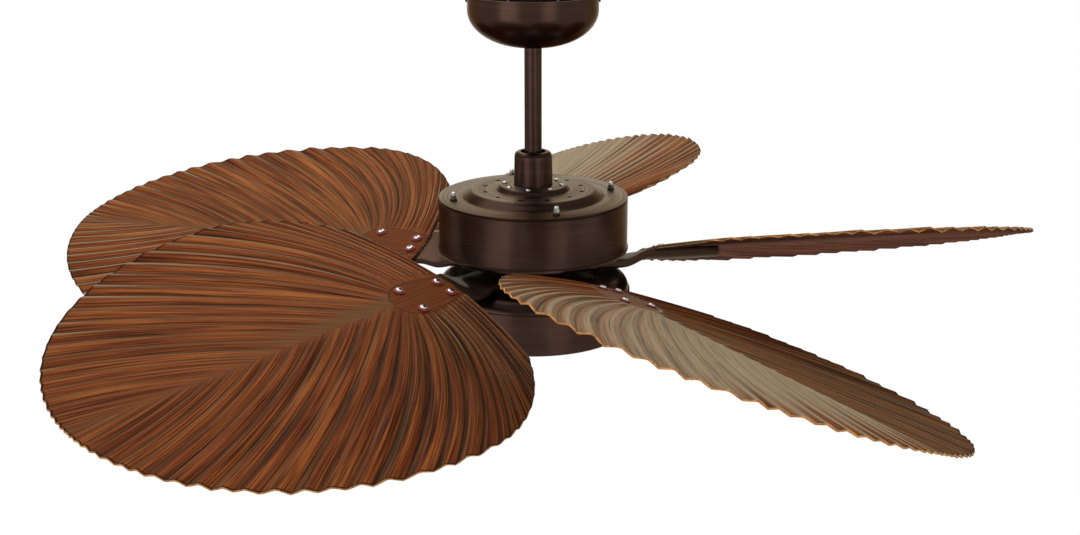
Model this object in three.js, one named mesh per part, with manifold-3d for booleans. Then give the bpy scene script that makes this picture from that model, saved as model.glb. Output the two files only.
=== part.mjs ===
// Ceiling fan on a short downrod, with five pleated palm-leaf blades.
// Millimetres, +Z up. The origin is the middle of the hanger bracket's flat top face,
// so the ceiling is the plane z = 0 and the whole fan hangs below it.
import * as THREE from 'three';
import { mergeVertices } from 'three/addons/utils/BufferGeometryUtils.js';
import Module from 'manifold-3d';

const wasm = await Module();
wasm.setup();

// ---------------------------------------------------------------- driving dimensions
const fit = 0.3; // gap between two pieces that seat on each other
const sheetWall = 1.2; // pressed steel of the covers
const roundSides = 24; // facets round a large cover
const innerSides = 16; // facets round a rod, a collar or a motor part
const smallSides = 12; // facets round a pin, nut or screw
const holeSides = 6; // facets round a small hole

// hanger bracket and canopy
const bracketStrip = { clear: 1.2, width: 36, thick: 2.5 }; // clear of the canopy's wall at its corners
const bracketTab = 14; // length of the turned-down ends
const bracketSlot = { length: 16, width: 5, offset: 48 };
const cradleLeg = { width: 20, thick: 3, reach: 30 };
const cradle = { outer: 29, top: 7, bottom: 15, mouth: 25 };
const canopy = { radius: 79.5, height: 63, straight: 18, gap: 1, hole: 20, crown: 10 };
const canopyScrew = { drop: 6, shank: 2, head: 3.6, headTall: 1.6 };

// hanger ball, downrod and coupling
const ball = { radius: 22, drop: 36 };
const rod = { radius: 10.65, wall: 2.2, aboveBall: 24, intoCoupling: 32 };
const ballPin = { radius: 3, length: 32, rise: 12 };
const exposedRod = 129; // canopy to coupling cover
const cover = { radius: 23.2, height: 42, flare: 0.8, corner: 5, mouth: 13.5 };
const coupling = { radius: 17, flange: 38, flangeThick: 3 };
const clevis = { radius: 3.2, length: 40, drop: 16 };
const setScrew = { radius: 3, length: 8, drop: 28 };

// motor housing
const drum = { radius: 118, height: 66.5, lip: 4.5, mouth: 86, rim: 14 };
const topPlate = { rise: 14, step: 8.2, wall: 2, slopeOut: 90.5, slopeIn: 75, hubOut: 45.5, hubIn: 42 };
const ventHoles = { count: 12, circle: 61.8, radius: 3, turn: 15.8 };
const studs = { count: 4, circle: 101.8, radius: 2.4, turn: -74.3, head: 4.4, headTall: 6 };
const domed = { radius: 4.6, tall: 7.5 };

// motor
const shaft = { radius: 9, bore: 4.5 };
const bearing = { outer: 17, width: 8 };
const airGap = 0.6; // between the stator and the rotor ring
const stator = { radius: 58, height: 20, slots: 12, slotDepth: 22, slotWidth: 8 };
const winding = { radius: 42, tube: 5 };
const rotorRing = { outer: 78, height: 24 };
const endBell = { wall: 4, boss: 24, lip: 2, air: 2 };
const flywheel = { radius: 76, thick: 6, neck: 60, neckWall: 10, bore: 15 };
const posts = { circle: 62, spread: 9, radius: 4.5, stub: 4 };

// blade irons and blades
const bladeCount = 5;
const firstBlade = -57.5; // degrees, the blade at the front right
const leafHub = 324.9; // drop of the leaf plane where it would meet the axis
const leafPitch = 19.6; // degrees, edge to edge
const leafDroop = 1.8; // degrees, root to tip
const leafFold = 1.2; // degrees that each half falls from the midrib
const leaf = { widest: 331, halfWidth: 234, tip: 686, rootArc: 197, squareness: 1.9, thick: 3 };
const leafCorner = { along: 174, across: 143 }; // where the straight root edge meets the round outline
const pad = { start: 152, end: 248, halfWidth: 30, widest: 215, rootHalf: 29 };
const pleats = 24; // on each half of a leaf
const pleatDepth = 0.12; // ridge to valley, as a share of the pleat's width at the edge
const pleatCrowding = 1.41; // how much closer the pleats lie towards the tip
const pleatRings = [0, 0.4, 1]; // where a pleat line has its points, from pad to edge
const pleatOnMidrib = 0.5; // share of the pleats that spring from the midrib
const midribEnd = 655; // where the last pleat leaves the midrib
const screws = { fromStart: 15, innerHalf: 11.7, fromEnd: 25.5, outerHalf: 20, shank: 2.3 };
const screwTop = { washer: 7.1, washerThick: 0.8, head: 4.6, headTall: 2.6 };
const iron = { root: 52, halfWidth: 28, edge: 9, middle: 12, dip: 4, levelTo: 96, plateFrom: 148 };
const ironTop = 335; // drop of the arm's top face at the hub

// switch housing under the blades
const housing = { top: 350, radius: 122, shoulder: 18, skirt: 9, height: 70, corner: 4 };

const housingScrew = { count: 3, turn: 90, shank: 1.8, head: 3.6, headTall: 1.8, below: 4.5, long: 8 };
const plug = { radius: 19, stem: 14.5, hole: 15, stemTall: 4, cap: 2.6 };
const capacitor = { length: 38, width: 20, tall: 28, offset: 62, corner: 4 };
const reverse = { turn: 120, slotTall: 12, slotWide: 4.6, tall: 22, wide: 11, deep: 10, recess: 5, below: 22 };
const slider = { tall: 6, wide: 4, proud: 3, play: 0.25 };
const shaftNut = { radius: 15, tall: 6 };

const sphereRings = 12; // facets from pole to pole of the ball and its seat
const through = 20; // half-length of a drill that goes right through a plate

// ---------------------------------------------------------------- lengths and heights worked out from them
const stripLength = 2 * Math.sqrt(
  (canopy.radius - sheetWall - bracketStrip.clear) ** 2 - (bracketStrip.width / 2) ** 2);
const flatOf = (sides) => Math.cos(Math.PI / sides); // a facet's middle lies this share of the radius out
const seatRadius = (ball.radius + fit) / (flatOf(innerSides) * flatOf(sphereRings * 2));
const rotorBore = (stator.radius + airGap) / flatOf(innerSides);
const screwRows = [
  [pad.start + screws.fromStart, screws.innerHalf],
  [pad.end - screws.fromEnd, screws.outerHalf]];

const zCanopyTop = -canopy.gap;
const zCanopyBottom = zCanopyTop - canopy.height;
const zBall = -ball.drop;
const zCoverTop = zCanopyBottom - exposedRod;
const zHub = zCoverTop - cover.height; // top of the plate's inner step
const zRim = zHub - topPlate.rise; // top of the plate's outer ring
const zDrumBottom = zRim - drum.height;
const zLip = zDrumBottom - drum.lip;
const zHousing = -housing.top;
const zHousingBottom = zHousing - housing.height;
const zCouplingTop = zCoverTop - 6;
const zRodEnd = zCouplingTop - rod.intoCoupling;
const zFlange = zHub - topPlate.wall - fit; // top of the coupling's flange
const zCouplingEnd = zFlange - coupling.flangeThick;
const zFlywheel = zLip - 1.5; // top of the flywheel
const zFlywheelEnd = zFlywheel - flywheel.thick;
const zStator = (zRim - topPlate.wall + zLip + stator.height) / 2; // top of the stator stack
const zRotor = zStator + (rotorRing.height - stator.height) / 2;

const deg = THREE.MathUtils.degToRad;
const smooth = (from, to, x) => THREE.MathUtils.smoothstep(x, from, to);

// ---------------------------------------------------------------- solids
/** Merges shared vertices, drops slivers of no area and turns the faces outwards. */
function closed(geometry) {
  const bare = geometry.clone();
  bare.deleteAttribute('normal');
  bare.deleteAttribute('uv');
  const merged = mergeVertices(bare, 1e-4);
  const place = merged.getAttribute('position');
  const index = merged.getIndex().array;
  const kept = [];
  let volume = 0;
  const [a, b, c] = [new THREE.Vector3(), new THREE.Vector3(), new THREE.Vector3()];
  for (let i = 0; i < index.length; i += 3) {
    const [p, q, r] = [index[i], index[i + 1], index[i + 2]];
    if (p === q || q === r || r === p) continue;
    kept.push(p, q, r);
    a.fromBufferAttribute(place, p);
    b.fromBufferAttribute(place, q);
    c.fromBufferAttribute(place, r);
    volume += a.dot(b.cross(c));
  }
  if (volume < 0) {
    for (let i = 0; i < kept.length; i += 3) [kept[i + 1], kept[i + 2]] = [kept[i + 2], kept[i + 1]];
  }
  merged.setIndex(kept);
  return merged;
}

function toSolid(geometry) {
  const mesh = closed(geometry);
  const vertProperties = new Float32Array(mesh.getAttribute('position').array);
  const triVerts = new Uint32Array(mesh.getIndex().array);
  return new wasm.Manifold(new wasm.Mesh({ numProp: 3, vertProperties, triVerts }));
}

function toGeometry(solid) {
  const mesh = solid.getMesh();
  const geometry = new THREE.BufferGeometry();
  geometry.setAttribute('position', new THREE.BufferAttribute(new Float32Array(mesh.vertProperties), 3));
  geometry.setIndex([...mesh.triVerts]);
  return geometry;
}

/** Cuts every tool out of the body. */
function cut(body, tools) {
  return toGeometry(tools.reduce((left, tool) => left.subtract(toSolid(tool)), toSolid(body)));
}

/** Joins pieces that overlap into one body. */
function join(...pieces) {
  return toGeometry(pieces.slice(1).reduce((all, piece) => all.add(toSolid(piece)), toSolid(pieces[0])));
}

/** Turns a closed profile of [radius, height] points about the Z axis. */
function turned(profile, sides = roundSides) {
  const points = profile.map(([radius, height]) => new THREE.Vector2(radius, height));
  return new THREE.LatheGeometry(points, sides).rotateX(Math.PI / 2);
}

function tube(outer, inner, bottom, top, sides = roundSides) {
  return turned([[inner, bottom], [outer, bottom], [outer, top], [inner, top], [inner, bottom]], sides);
}

function rodAlongZ(radius, bottom, top, sides = smallSides) {
  return turned([[0, bottom], [radius, bottom], [radius, top], [0, top]], sides);
}

/** A round bar centred on the origin, lying along X. */
function barAlongX(radius, length, sides = smallSides) {
  return rodAlongZ(radius, -length / 2, length / 2, sides).rotateY(Math.PI / 2);
}

function block(sizeX, sizeY, sizeZ, x = 0, y = 0, z = 0) {
  return new THREE.BoxGeometry(sizeX, sizeY, sizeZ).translate(x, y, z);
}

function arc(centreR, centreZ, radiusR, radiusZ, from, to, steps) {
  return Array.from({ length: steps + 1 }, (_, i) => {
    const turn = deg(from + ((to - from) * i) / steps);
    return [centreR + radiusR * Math.cos(turn), centreZ + radiusZ * Math.sin(turn)];
  });
}

/** The closed section of a pressed sheet: a skin line and its copy, wall away on the line's right. */
function sheet(skin, wall) {
  const normals = skin.slice(1).map(([r, z], i) => {
    const [dr, dz] = [r - skin[i][0], z - skin[i][1]];
    const length = Math.hypot(dr, dz);
    return [dz / length, -dr / length];
  });
  const back = skin.map(([r, z], i) => {
    const before = normals[Math.max(i - 1, 0)];
    const after = normals[Math.min(i, normals.length - 1)];
    const share = 1 + before[0] * after[0] + before[1] * after[1];
    return [r + (wall * (before[0] + after[0])) / share, z + (wall * (before[1] + after[1])) / share];
  });
  return [...skin, ...back.reverse(), skin[0]];
}

function around(count, turn) {
  return Array.from({ length: count }, (_, i) => deg(turn + (360 * i) / count));
}

// ---------------------------------------------------------------- finishes
const finish = (name, color, roughness, metalness) =>
  new THREE.MeshStandardMaterial({ name, color, roughness, metalness });
const bronze = finish('bronze', 0x3b2a26, 0.45, 0.75);
const zinc = finish('zinc', 0xa8aaad, 0.4, 0.9);
const steel = finish('steel', 0x8d8f92, 0.35, 0.95);
const nutChrome = finish('nut_chrome', 0xd0d0d2, 0.15, 1);
const laminations = finish('laminations', 0x56585c, 0.5, 0.8);
const copper = finish('copper', 0x9a4f24, 0.4, 0.8);
const leafWood = finish('leaf_wood', 0x7a3a1e, 0.5, 0);
const blackPlastic = finish('black_plastic', 0x1c1b1b, 0.5, 0);

const fan = new THREE.Group();

function add(name, geometry, material, parent = fan) {
  const mesh = new THREE.Mesh(closed(geometry), material);
  mesh.name = name;
  parent.add(mesh);
  return mesh;
}

// ---------------------------------------------------------------- hanger and canopy
function hangerSphere(radius) {
  return new THREE.SphereGeometry(radius, innerSides, sphereRings).rotateX(Math.PI / 2).translate(0, 0, zBall);
}

/** Ceiling strip with turned-down ends, two legs and the cradle that the ball sits in. */
function hangerBracket() {
  const { width, thick } = bracketStrip;
  const cradleTop = zBall - cradle.top;
  const cradleBottom = zBall - cradle.bottom;
  const legTall = -cradleBottom - thick / 2;
  const strip = block(stripLength, width, thick, 0, 0, -thick / 2);
  const ends = [-1, 1].map((side) =>
    block(thick, width, bracketTab, (side * (stripLength - thick)) / 2, 0, -bracketTab / 2));
  const legs = [-1, 1].map((side) =>
    block(cradleLeg.thick, cradleLeg.width, legTall, side * cradleLeg.reach, 0, cradleBottom + legTall / 2));
  const cup = tube(cradleLeg.reach + cradleLeg.thick / 2, rod.radius + 5, cradleBottom, cradleTop, innerSides);
  const body = join(strip, ...ends, ...legs, cup);
  const seat = hangerSphere(seatRadius);
  const mouth = block(cradle.mouth, cradle.outer * 2, cradle.bottom, 0, -cradle.outer,
    cradleBottom + cradle.top / 2);
  const slots = [-1, 1].map((side) =>
    block(bracketSlot.length, bracketSlot.width, thick * 4, side * bracketSlot.offset, 0, 0));
  const threads = barAlongX(canopyScrew.shank + fit, stripLength * 2);
  threads.translate(0, 0, zCanopyTop - canopyScrew.drop);
  return cut(body, [seat, mouth, ...slots, threads]);
}

/** Bell-shaped canopy: a short straight wall, then a quarter ellipse down to the rod hole. */
function canopyShell() {
  const crownRise = canopy.height - canopy.straight;
  const start = Math.acos((canopy.hole - canopy.crown) / (canopy.radius - canopy.crown));
  const bowl = arc(canopy.crown, zCanopyBottom + crownRise, canopy.radius - canopy.crown, crownRise,
    -THREE.MathUtils.radToDeg(start), 0, 5);
  const skin = [...bowl, [canopy.radius, zCanopyTop]].reverse();
  const shell = turned(sheet(skin, sheetWall));
  const holes = barAlongX(canopyScrew.shank + fit, canopy.radius * 3);
  return cut(shell, [holes.translate(0, 0, zCanopyTop - canopyScrew.drop)]);
}

function canopyScrews() {
  const inside = stripLength / 2 - bracketStrip.thick * 2;
  const seat = canopy.radius + fit;
  for (const side of [-1, 1]) {
    const profile = [[0, inside], [canopyScrew.shank, inside], [canopyScrew.shank, seat],
      [canopyScrew.head, seat], [canopyScrew.head * 0.8, seat + canopyScrew.headTall],
      [0, seat + canopyScrew.headTall]];
    const screw = turned(profile, smallSides).rotateY((side * Math.PI) / 2);
    screw.translate(0, 0, zCanopyTop - canopyScrew.drop);
    add(`canopy_screw_${side < 0 ? 'left' : 'right'}`, screw, bronze);
  }
}

// ---------------------------------------------------------------- hanger ball, downrod, coupling
function hangerBall() {
  const bore = rodAlongZ(rod.radius + fit, zBall - ball.radius * 2, zBall + ball.radius * 2, innerSides);
  const slotTall = ball.radius * 2;
  const slotFloor = zBall + ballPin.rise - ballPin.radius - fit;
  const slot = block(ball.radius * 3, (ballPin.radius + fit) * 2, slotTall, 0, 0, slotFloor + slotTall / 2);
  return cut(hangerSphere(ball.radius), [bore, slot]);
}

function downrod() {
  const bar = tube(rod.radius, rod.radius - rod.wall, zRodEnd, zBall + rod.aboveBall, innerSides);
  const pinHole = barAlongX(ballPin.radius + fit, rod.radius * 4).translate(0, 0, zBall + ballPin.rise);
  const clevisHole = barAlongX(clevis.radius + fit, rod.radius * 4).rotateZ(Math.PI / 2);
  return cut(bar, [pinHole, clevisHole.translate(0, 0, zCouplingTop - clevis.drop)]);
}

/** Collar on the motor shaft that the downrod drops into. */
function rodCoupling() {
  const socketFloor = zRodEnd - fit;
  const collar = turned([[shaft.radius + fit, zCouplingEnd], [coupling.flange, zCouplingEnd],
    [coupling.flange, zFlange], [coupling.radius, zFlange], [coupling.radius, zCouplingTop],
    [rod.radius + fit, zCouplingTop], [rod.radius + fit, socketFloor], [shaft.radius + fit, socketFloor],
    [shaft.radius + fit, zCouplingEnd]], innerSides);
  const pinHole = barAlongX(clevis.radius + fit, coupling.radius * 3).rotateZ(Math.PI / 2);
  const threads = barAlongX(setScrew.radius + fit, coupling.radius * 3);
  return cut(collar, [pinHole.translate(0, 0, zCouplingTop - clevis.drop),
    threads.translate(0, 0, zCouplingTop - setScrew.drop)]);
}

/** Slightly flared cup that slides down the rod over the coupling. */
function couplingCover() {
  const top = arc(cover.radius - cover.corner, zCoverTop - cover.corner, cover.corner, cover.corner, 90, 0, 2);
  const skin = [[cover.mouth, zCoverTop], ...top, [cover.radius + cover.flare, zHub + fit]];
  return turned(sheet(skin, sheetWall), innerSides);
}

function hangingHardware() {
  add('hanger_ball', hangerBall(), blackPlastic);
  add('downrod', downrod(), bronze);
  add('ball_cross_pin', barAlongX(ballPin.radius, ballPin.length).translate(0, 0, zBall + ballPin.rise), steel);
  add('rod_coupling', rodCoupling(), zinc);
  const pin = barAlongX(clevis.radius, clevis.length).rotateZ(Math.PI / 2);
  add('clevis_pin', pin.translate(0, 0, zCouplingTop - clevis.drop), steel);
  for (const side of [-1, 1]) {
    const inside = rod.radius + fit;
    const screw = barAlongX(setScrew.radius, setScrew.length);
    add(`rod_set_screw_${side < 0 ? 'left' : 'right'}`,
      screw.translate(side * (inside + setScrew.length / 2), 0, zCouplingTop - setScrew.drop), steel);
  }
  add('coupling_cover', couplingCover(), bronze);
}

// ---------------------------------------------------------------- motor housing
function studHoles() {
  const drill = rodAlongZ(studs.radius + fit, zRim - through, zRim + through, holeSides);
  return around(studs.count, studs.turn).map((turn) => drill.clone()
    .translate(studs.circle * Math.cos(turn), studs.circle * Math.sin(turn), 0));
}

/** Stepped top plate with its ring of vent holes. */
function drumTopPlate() {
  const slope = [0, 0.3, 0.7, 1].map((share) => [
    THREE.MathUtils.lerp(topPlate.slopeIn, topPlate.slopeOut, share),
    zRim + topPlate.step * (1 - smooth(0, 1, share))]);
  const skin = [[coupling.radius + fit, zHub], [topPlate.hubIn, zHub], [topPlate.hubOut, zRim + topPlate.step],
    ...slope, [drum.radius, zRim]];
  const plate = turned(sheet(skin, topPlate.wall));
  const vent = rodAlongZ(ventHoles.radius, -through, through, holeSides);
  const vents = around(ventHoles.count, ventHoles.turn).map((turn) => vent.clone()
    .translate(ventHoles.circle * Math.cos(turn), ventHoles.circle * Math.sin(turn), zRim + topPlate.step));
  return cut(plate, [...vents, ...studHoles()]);
}

/** Drum wall: inward flange under the top plate, straight side, and a lip rolled in at the bottom. */
function drumShell() {
  const top = zRim - topPlate.wall - fit;
  const bead = 1.2;
  const skin = [[drum.radius - drum.rim - 8, top], [drum.radius - 1.5, top], [drum.radius, top - 1.5],
    [drum.radius, zDrumBottom + 4], [drum.radius + bead, zDrumBottom + 2], [drum.radius + bead, zDrumBottom],
    [drum.radius - 4, zLip + 0.8], [drum.radius - 10, zLip], [drum.mouth, zLip]];
  const shell = turned(sheet(skin, sheetWall));
  return cut(shell, studHoles());
}

/** Domed nut with its stud, which comes up through the drum flange and the top plate. */
function domedNut() {
  const seat = zRim + fit;
  const dome = arc(0, seat + domed.tall * 0.55, domed.radius * 0.85, domed.tall * 0.45, 0, 90, 2);
  const nut = turned([[0, seat], [domed.radius, seat], [domed.radius, seat + domed.tall / 2], ...dome], holeSides);
  const underside = zRim - topPlate.wall - sheetWall - 2 * fit;
  const studFoot = underside - studs.headTall;
  const stud = turned([[0, studFoot], [studs.head, studFoot], [studs.head, underside],
    [studs.radius, underside], [studs.radius, seat + 1], [0, seat + 1]], holeSides);
  return join(nut, stud);
}

function motorHousing() {
  add('drum_top_plate', drumTopPlate(), bronze);
  add('drum_shell', drumShell(), bronze);
  around(studs.count, studs.turn).forEach((turn, i) => {
    const nut = domedNut().translate(studs.circle * Math.cos(turn), studs.circle * Math.sin(turn), 0);
    add(`domed_nut_${i + 1}`, nut, nutChrome);
  });
}

// ---------------------------------------------------------------- motor
function statorCore() {
  const outline = new THREE.Shape().absarc(0, 0, stator.radius, 0, Math.PI * 2);
  outline.holes.push(new THREE.Path().absarc(0, 0, shaft.radius + fit, 0, Math.PI * 2, true));
  const stack = new THREE.ExtrudeGeometry(outline,
    { depth: stator.height, bevelEnabled: false, curveSegments: innerSides / 2 });
  stack.translate(0, 0, zStator - stator.height);
  const reach = stator.radius - stator.slotDepth / 2 + 1;
  const slots = around(stator.slots, 0).map((turn) =>
    block(stator.slotDepth, stator.slotWidth, stator.height * 2, reach, 0, 0)
      .rotateZ(turn).translate(0, 0, zStator - stator.height / 2));
  return cut(stack, slots);
}

/** One end of the copper winding: a rounded ring that lies on the stator stack. */
function windingRing(centreZ) {
  return new THREE.TorusGeometry(winding.radius, winding.tube, 6, innerSides).translate(0, 0, centreZ);
}

const windingTall = winding.tube * 2 + fit;
const bellReach = (stator.height - rotorRing.height) / 2 + windingTall + endBell.air; // ring face to bell floor
const zBell = { upper: zRotor + bellReach, lower: zRotor - rotorRing.height - bellReach };
const bossTall = bearing.width + 2 * fit + endBell.lip - endBell.wall;

/** Cast end of the rotor: a dished plate with a skirt to the ring and a pocket for its bearing. */
function bell(floorZ, facing) {
  const up = (height) => floorZ + facing * height;
  const ringFace = up(fit - bellReach);
  const lipHole = shaft.radius + 3;
  const pocket = bearing.outer + fit;
  return turned([[lipHole, up(endBell.wall)], [rotorRing.outer, up(endBell.wall)], [rotorRing.outer, ringFace],
    [rotorRing.outer - 6, ringFace], [rotorRing.outer - 6, floorZ], [endBell.boss, floorZ],
    [endBell.boss, up(-bossTall)], [pocket, up(-bossTall)], [pocket, up(endBell.wall - endBell.lip)],
    [lipHole, up(endBell.wall - endBell.lip)], [lipHole, up(endBell.wall)]], innerSides);
}

function bearingRing(floorZ, facing) {
  const seat = floorZ + facing * (endBell.wall - endBell.lip - fit);
  const far = seat - facing * bearing.width;
  return tube(bearing.outer, shaft.radius + fit, Math.min(seat, far), Math.max(seat, far), innerSides);
}

/** Disc under the motor that carries the irons: a neck up to the rotor and two bored posts for each iron. */
function flywheelDisc() {
  const neckTop = zBell.lower - endBell.wall - fit;
  const neckIn = flywheel.neck - flywheel.neckWall;
  const disc = turned([[flywheel.bore, zFlywheelEnd], [flywheel.radius, zFlywheelEnd],
    [flywheel.radius, zFlywheel], [flywheel.neck, zFlywheel], [flywheel.neck, neckTop],
    [neckIn, neckTop], [neckIn, zFlywheel], [flywheel.bore, zFlywheel],
    [flywheel.bore, zFlywheelEnd]], innerSides);
  const pegs = (radius, bottom, top) => bladeTurns.flatMap((turn) => [-1, 1].map((side) =>
    rodAlongZ(radius, bottom, top, holeSides).translate(posts.circle, side * posts.spread, 0).rotateZ(turn)));
  const bores = pegs(screws.shank + fit, -ironTop - posts.stub, posts.stub + fit - ironTop);
  return cut(join(disc, ...pegs(posts.radius, fit - ironTop, zFlywheelEnd + 1)), bores);
}

function motor() {
  add('motor_shaft', tube(shaft.radius, shaft.bore, zHousing - 14, zRodEnd - 2 * fit, innerSides), steel);
  add('stator_core', statorCore(), laminations);
  add('winding_upper', windingRing(zStator + winding.tube + fit), copper);
  add('winding_lower', windingRing(zStator - stator.height - winding.tube - fit), copper);
  const ring = tube(rotorRing.outer, rotorBore, zRotor - rotorRing.height, zRotor, innerSides);
  add('rotor_ring', ring, laminations);
  add('end_bell_upper', bell(zBell.upper, 1), zinc);
  add('end_bell_lower', bell(zBell.lower, -1), zinc);
  add('bearing_upper', bearingRing(zBell.upper, 1), steel);
  add('bearing_lower', bearingRing(zBell.lower, -1), steel);
  add('flywheel', flywheelDisc(), bronze);
}

// ---------------------------------------------------------------- blades
const bladeTurns = Array.from({ length: bladeCount }, (_, i) => deg(firstBlade + (360 * i) / bladeCount));

/** Axes of a plane that is rolled about the blade's length and droops outwards. */
function leafAxes(roll, droop) {
  const along = new THREE.Vector3(Math.cos(droop), 0, -Math.sin(droop));
  const level = new THREE.Vector3(0, 1, 0);
  const upright = along.clone().cross(level);
  const across = level.clone().multiplyScalar(Math.cos(roll)).addScaledVector(upright, -Math.sin(roll));
  return { along, across, up: along.clone().cross(across) };
}

const leafPlane = leafAxes(deg(leafPitch), deg(leafDroop));
const leafMatrix = new THREE.Matrix4()
  .makeBasis(leafPlane.along, leafPlane.across, leafPlane.up).setPosition(0, 0, -leafHub);

/** Half-width of the flat screw pad at a distance from the axis. */
function padHalfWidth(u) {
  const past = (u - pad.widest) / (pad.end - pad.widest);
  if (past >= 0) return pad.halfWidth * Math.sqrt(Math.max(0, 1 - past * past));
  const share = (u - pad.start) / (pad.widest - pad.start);
  return pad.rootHalf + (pad.halfWidth - pad.rootHalf) * Math.sin((share * Math.PI) / 2);
}

/** Where a pleat line starts: on the pad's edge, then along the midrib. */
function pleatStart(share) {
  const onPad = 1 - pleatOnMidrib;
  const sidePart = 0.6 * onPad;
  if (share <= sidePart) {
    const u = pad.start + ((pad.widest - pad.start) * share) / sidePart;
    return [u, padHalfWidth(u)];
  }
  if (share < onPad) {
    const turn = (((share - sidePart) / (onPad - sidePart)) * Math.PI) / 2;
    return [pad.widest + (pad.end - pad.widest) * Math.sin(turn), pad.halfWidth * Math.cos(turn)];
  }
  return [pad.end + ((midribEnd - pad.end) * (share - onPad)) / pleatOnMidrib, 0];
}

/** Where it ends: on the egg-shaped outline, from the root corner round to the tip. */
function pleatEnd(share) {
  const rootX = (leafCorner.along - leaf.widest) / leaf.rootArc;
  const first = Math.atan2(leafCorner.across / leaf.halfWidth, rootX);
  const turn = first * (1 - share) ** pleatCrowding;
  const power = turn < Math.PI / 2 ? 2 / leaf.squareness : 1;
  const reach = turn < Math.PI / 2 ? leaf.tip - leaf.widest : leaf.rootArc;
  const [c, s] = [Math.cos(turn), Math.sin(turn)];
  return [leaf.widest + reach * Math.sign(c) * Math.abs(c) ** power, leaf.halfWidth * Math.abs(s) ** power];
}

/** Direction in which a pleat line leaves, measured from the midrib. */
function pleatLean(share) {
  const onPad = 1 - pleatOnMidrib;
  if (share < 0.6 * onPad) return deg(86);
  if (share < onPad) return deg(86 - (48 * (share - 0.6 * onPad)) / (0.4 * onPad));
  return deg(38 * (1 - ((share - onPad) / pleatOnMidrib) ** 2));
}

/** Points of one half of the leaf's mid-surface: columns of pleat lines, rings from pad to edge. */
function halfLeaf() {
  const columns = pleats * 2;
  const ends = Array.from({ length: columns + 1 }, (_, i) => pleatEnd(i / columns));
  return ends.map((end, i) => {
    const share = i / columns;
    const start = pleatStart(share);
    const lean = pleatLean(share);
    const hold = 0.45 * Math.hypot(end[0] - start[0], end[1] - start[1]);
    const bend = [start[0] + hold * Math.cos(lean), start[1] + hold * Math.sin(lean)];
    const [before, after] = [ends[Math.max(i - 1, 0)], ends[Math.min(i + 1, columns)]];
    const width = Math.hypot(after[0] - before[0], after[1] - before[1]);
    const depth = (i % 2 ? 0.5 : -0.5) * pleatDepth * width;
    return pleatRings.map((s) => {
      const [a, b, c] = [(1 - s) ** 2, 2 * s * (1 - s), s * s];
      const u = a * start[0] + b * bend[0] + c * end[0];
      const v = a * start[1] + b * bend[1] + c * end[1];
      const fall = Math.tan(deg(leafFold)) * Math.max(0, v - padHalfWidth(u));
      return new THREE.Vector3(u, v, depth * Math.min(1, s / 0.6) ** 1.2 - fall);
    });
  });
}

/** The pleated leaf: two mirrored halves round the flat pad, with a top, a bottom and a cut edge. */
function leafBlank() {
  const half = halfLeaf();
  const mirrored = half.map((line) => line.map((p) => new THREE.Vector3(p.x, -p.y, p.z)));
  const corners = [];
  const quad = (a, b, c, d) => corners.push(a, b, c, a, c, d);
  const skin = (lift, flip) => {
    const at = (p) => new THREE.Vector3(p.x, p.y, p.z + lift);
    const face = (a, b, c, d) => (flip ? quad(at(d), at(c), at(b), at(a)) : quad(at(a), at(b), at(c), at(d)));
    for (let i = 0; i < half.length - 1; i++) {
      for (let j = 0; j < pleatRings.length - 1; j++) {
        face(half[i][j], half[i + 1][j], half[i + 1][j + 1], half[i][j + 1]);
        face(mirrored[i][j + 1], mirrored[i + 1][j + 1], mirrored[i + 1][j], mirrored[i][j]);
      }
      face(mirrored[i][0], mirrored[i + 1][0], half[i + 1][0], half[i][0]);
    }
  };
  skin(leaf.thick / 2, false);
  skin(-leaf.thick / 2, true);
  const outside = pleatRings.length - 1;
  const rim = [...half[0], ...half.slice(1).map((line) => line[outside]),
    ...mirrored.slice(0, -1).reverse().map((line) => line[outside]), ...mirrored[0].slice(0, -1).reverse()];
  rim.forEach((p, i) => {
    const q = rim[(i + 1) % rim.length];
    const at = (r, lift) => new THREE.Vector3(r.x, r.y, r.z + lift);
    quad(at(p, leaf.thick / 2), at(q, leaf.thick / 2), at(q, -leaf.thick / 2), at(p, -leaf.thick / 2));
  });
  return new THREE.BufferGeometry().setFromPoints(corners);
}

/** The same round piece at each of the four blade screws, square to the leaf. */
function atScrews(geometry) {
  return screwRows.flatMap(([u, half]) => [-half, half].map((v) => geometry.clone().translate(u, v, 0)));
}

function blade() {
  const drill = rodAlongZ(screws.shank + fit, -leaf.thick * 2, leaf.thick * 2, holeSides);
  return cut(leafBlank(), atScrews(drill)).applyMatrix4(leafMatrix);
}

// ---------------------------------------------------------------- blade irons
/** One cross-section of an iron: flat top, square sides and a rounded belly. */
function ironSection(u) {
  const blend = smooth(iron.levelTo, iron.plateFrom, u);
  const { along, across, up } = leafAxes(deg(leafPitch) * blend, deg(leafDroop) * blend);
  const level = new THREE.Vector3(u, 0, -ironTop);
  const seated = leafPlane.along.clone().multiplyScalar(u).add(new THREE.Vector3(0, 0, -leafHub))
    .addScaledVector(leafPlane.up, -leaf.thick / 2 - fit);
  const centre = level.lerp(seated, blend);
  centre.z -= iron.dip * Math.sin(Math.PI * blend);
  const half = u > pad.widest ? padHalfWidth(u) : iron.halfWidth + (pad.halfWidth - iron.halfWidth) *
    smooth(iron.plateFrom, pad.widest, u) - 8 * (1 - smooth(iron.root, iron.root + 12, u));
  const belly = [[1, -iron.edge], [0.6, -iron.middle * 0.94], [0, -iron.middle], [-0.6, -iron.middle * 0.94],
    [-1, -iron.edge], [-1, 0], [0, 0], [1, 0]];
  return belly.map(([share, depth]) =>
    centre.clone().addScaledVector(across, share * half).addScaledVector(up, depth));
}

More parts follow.
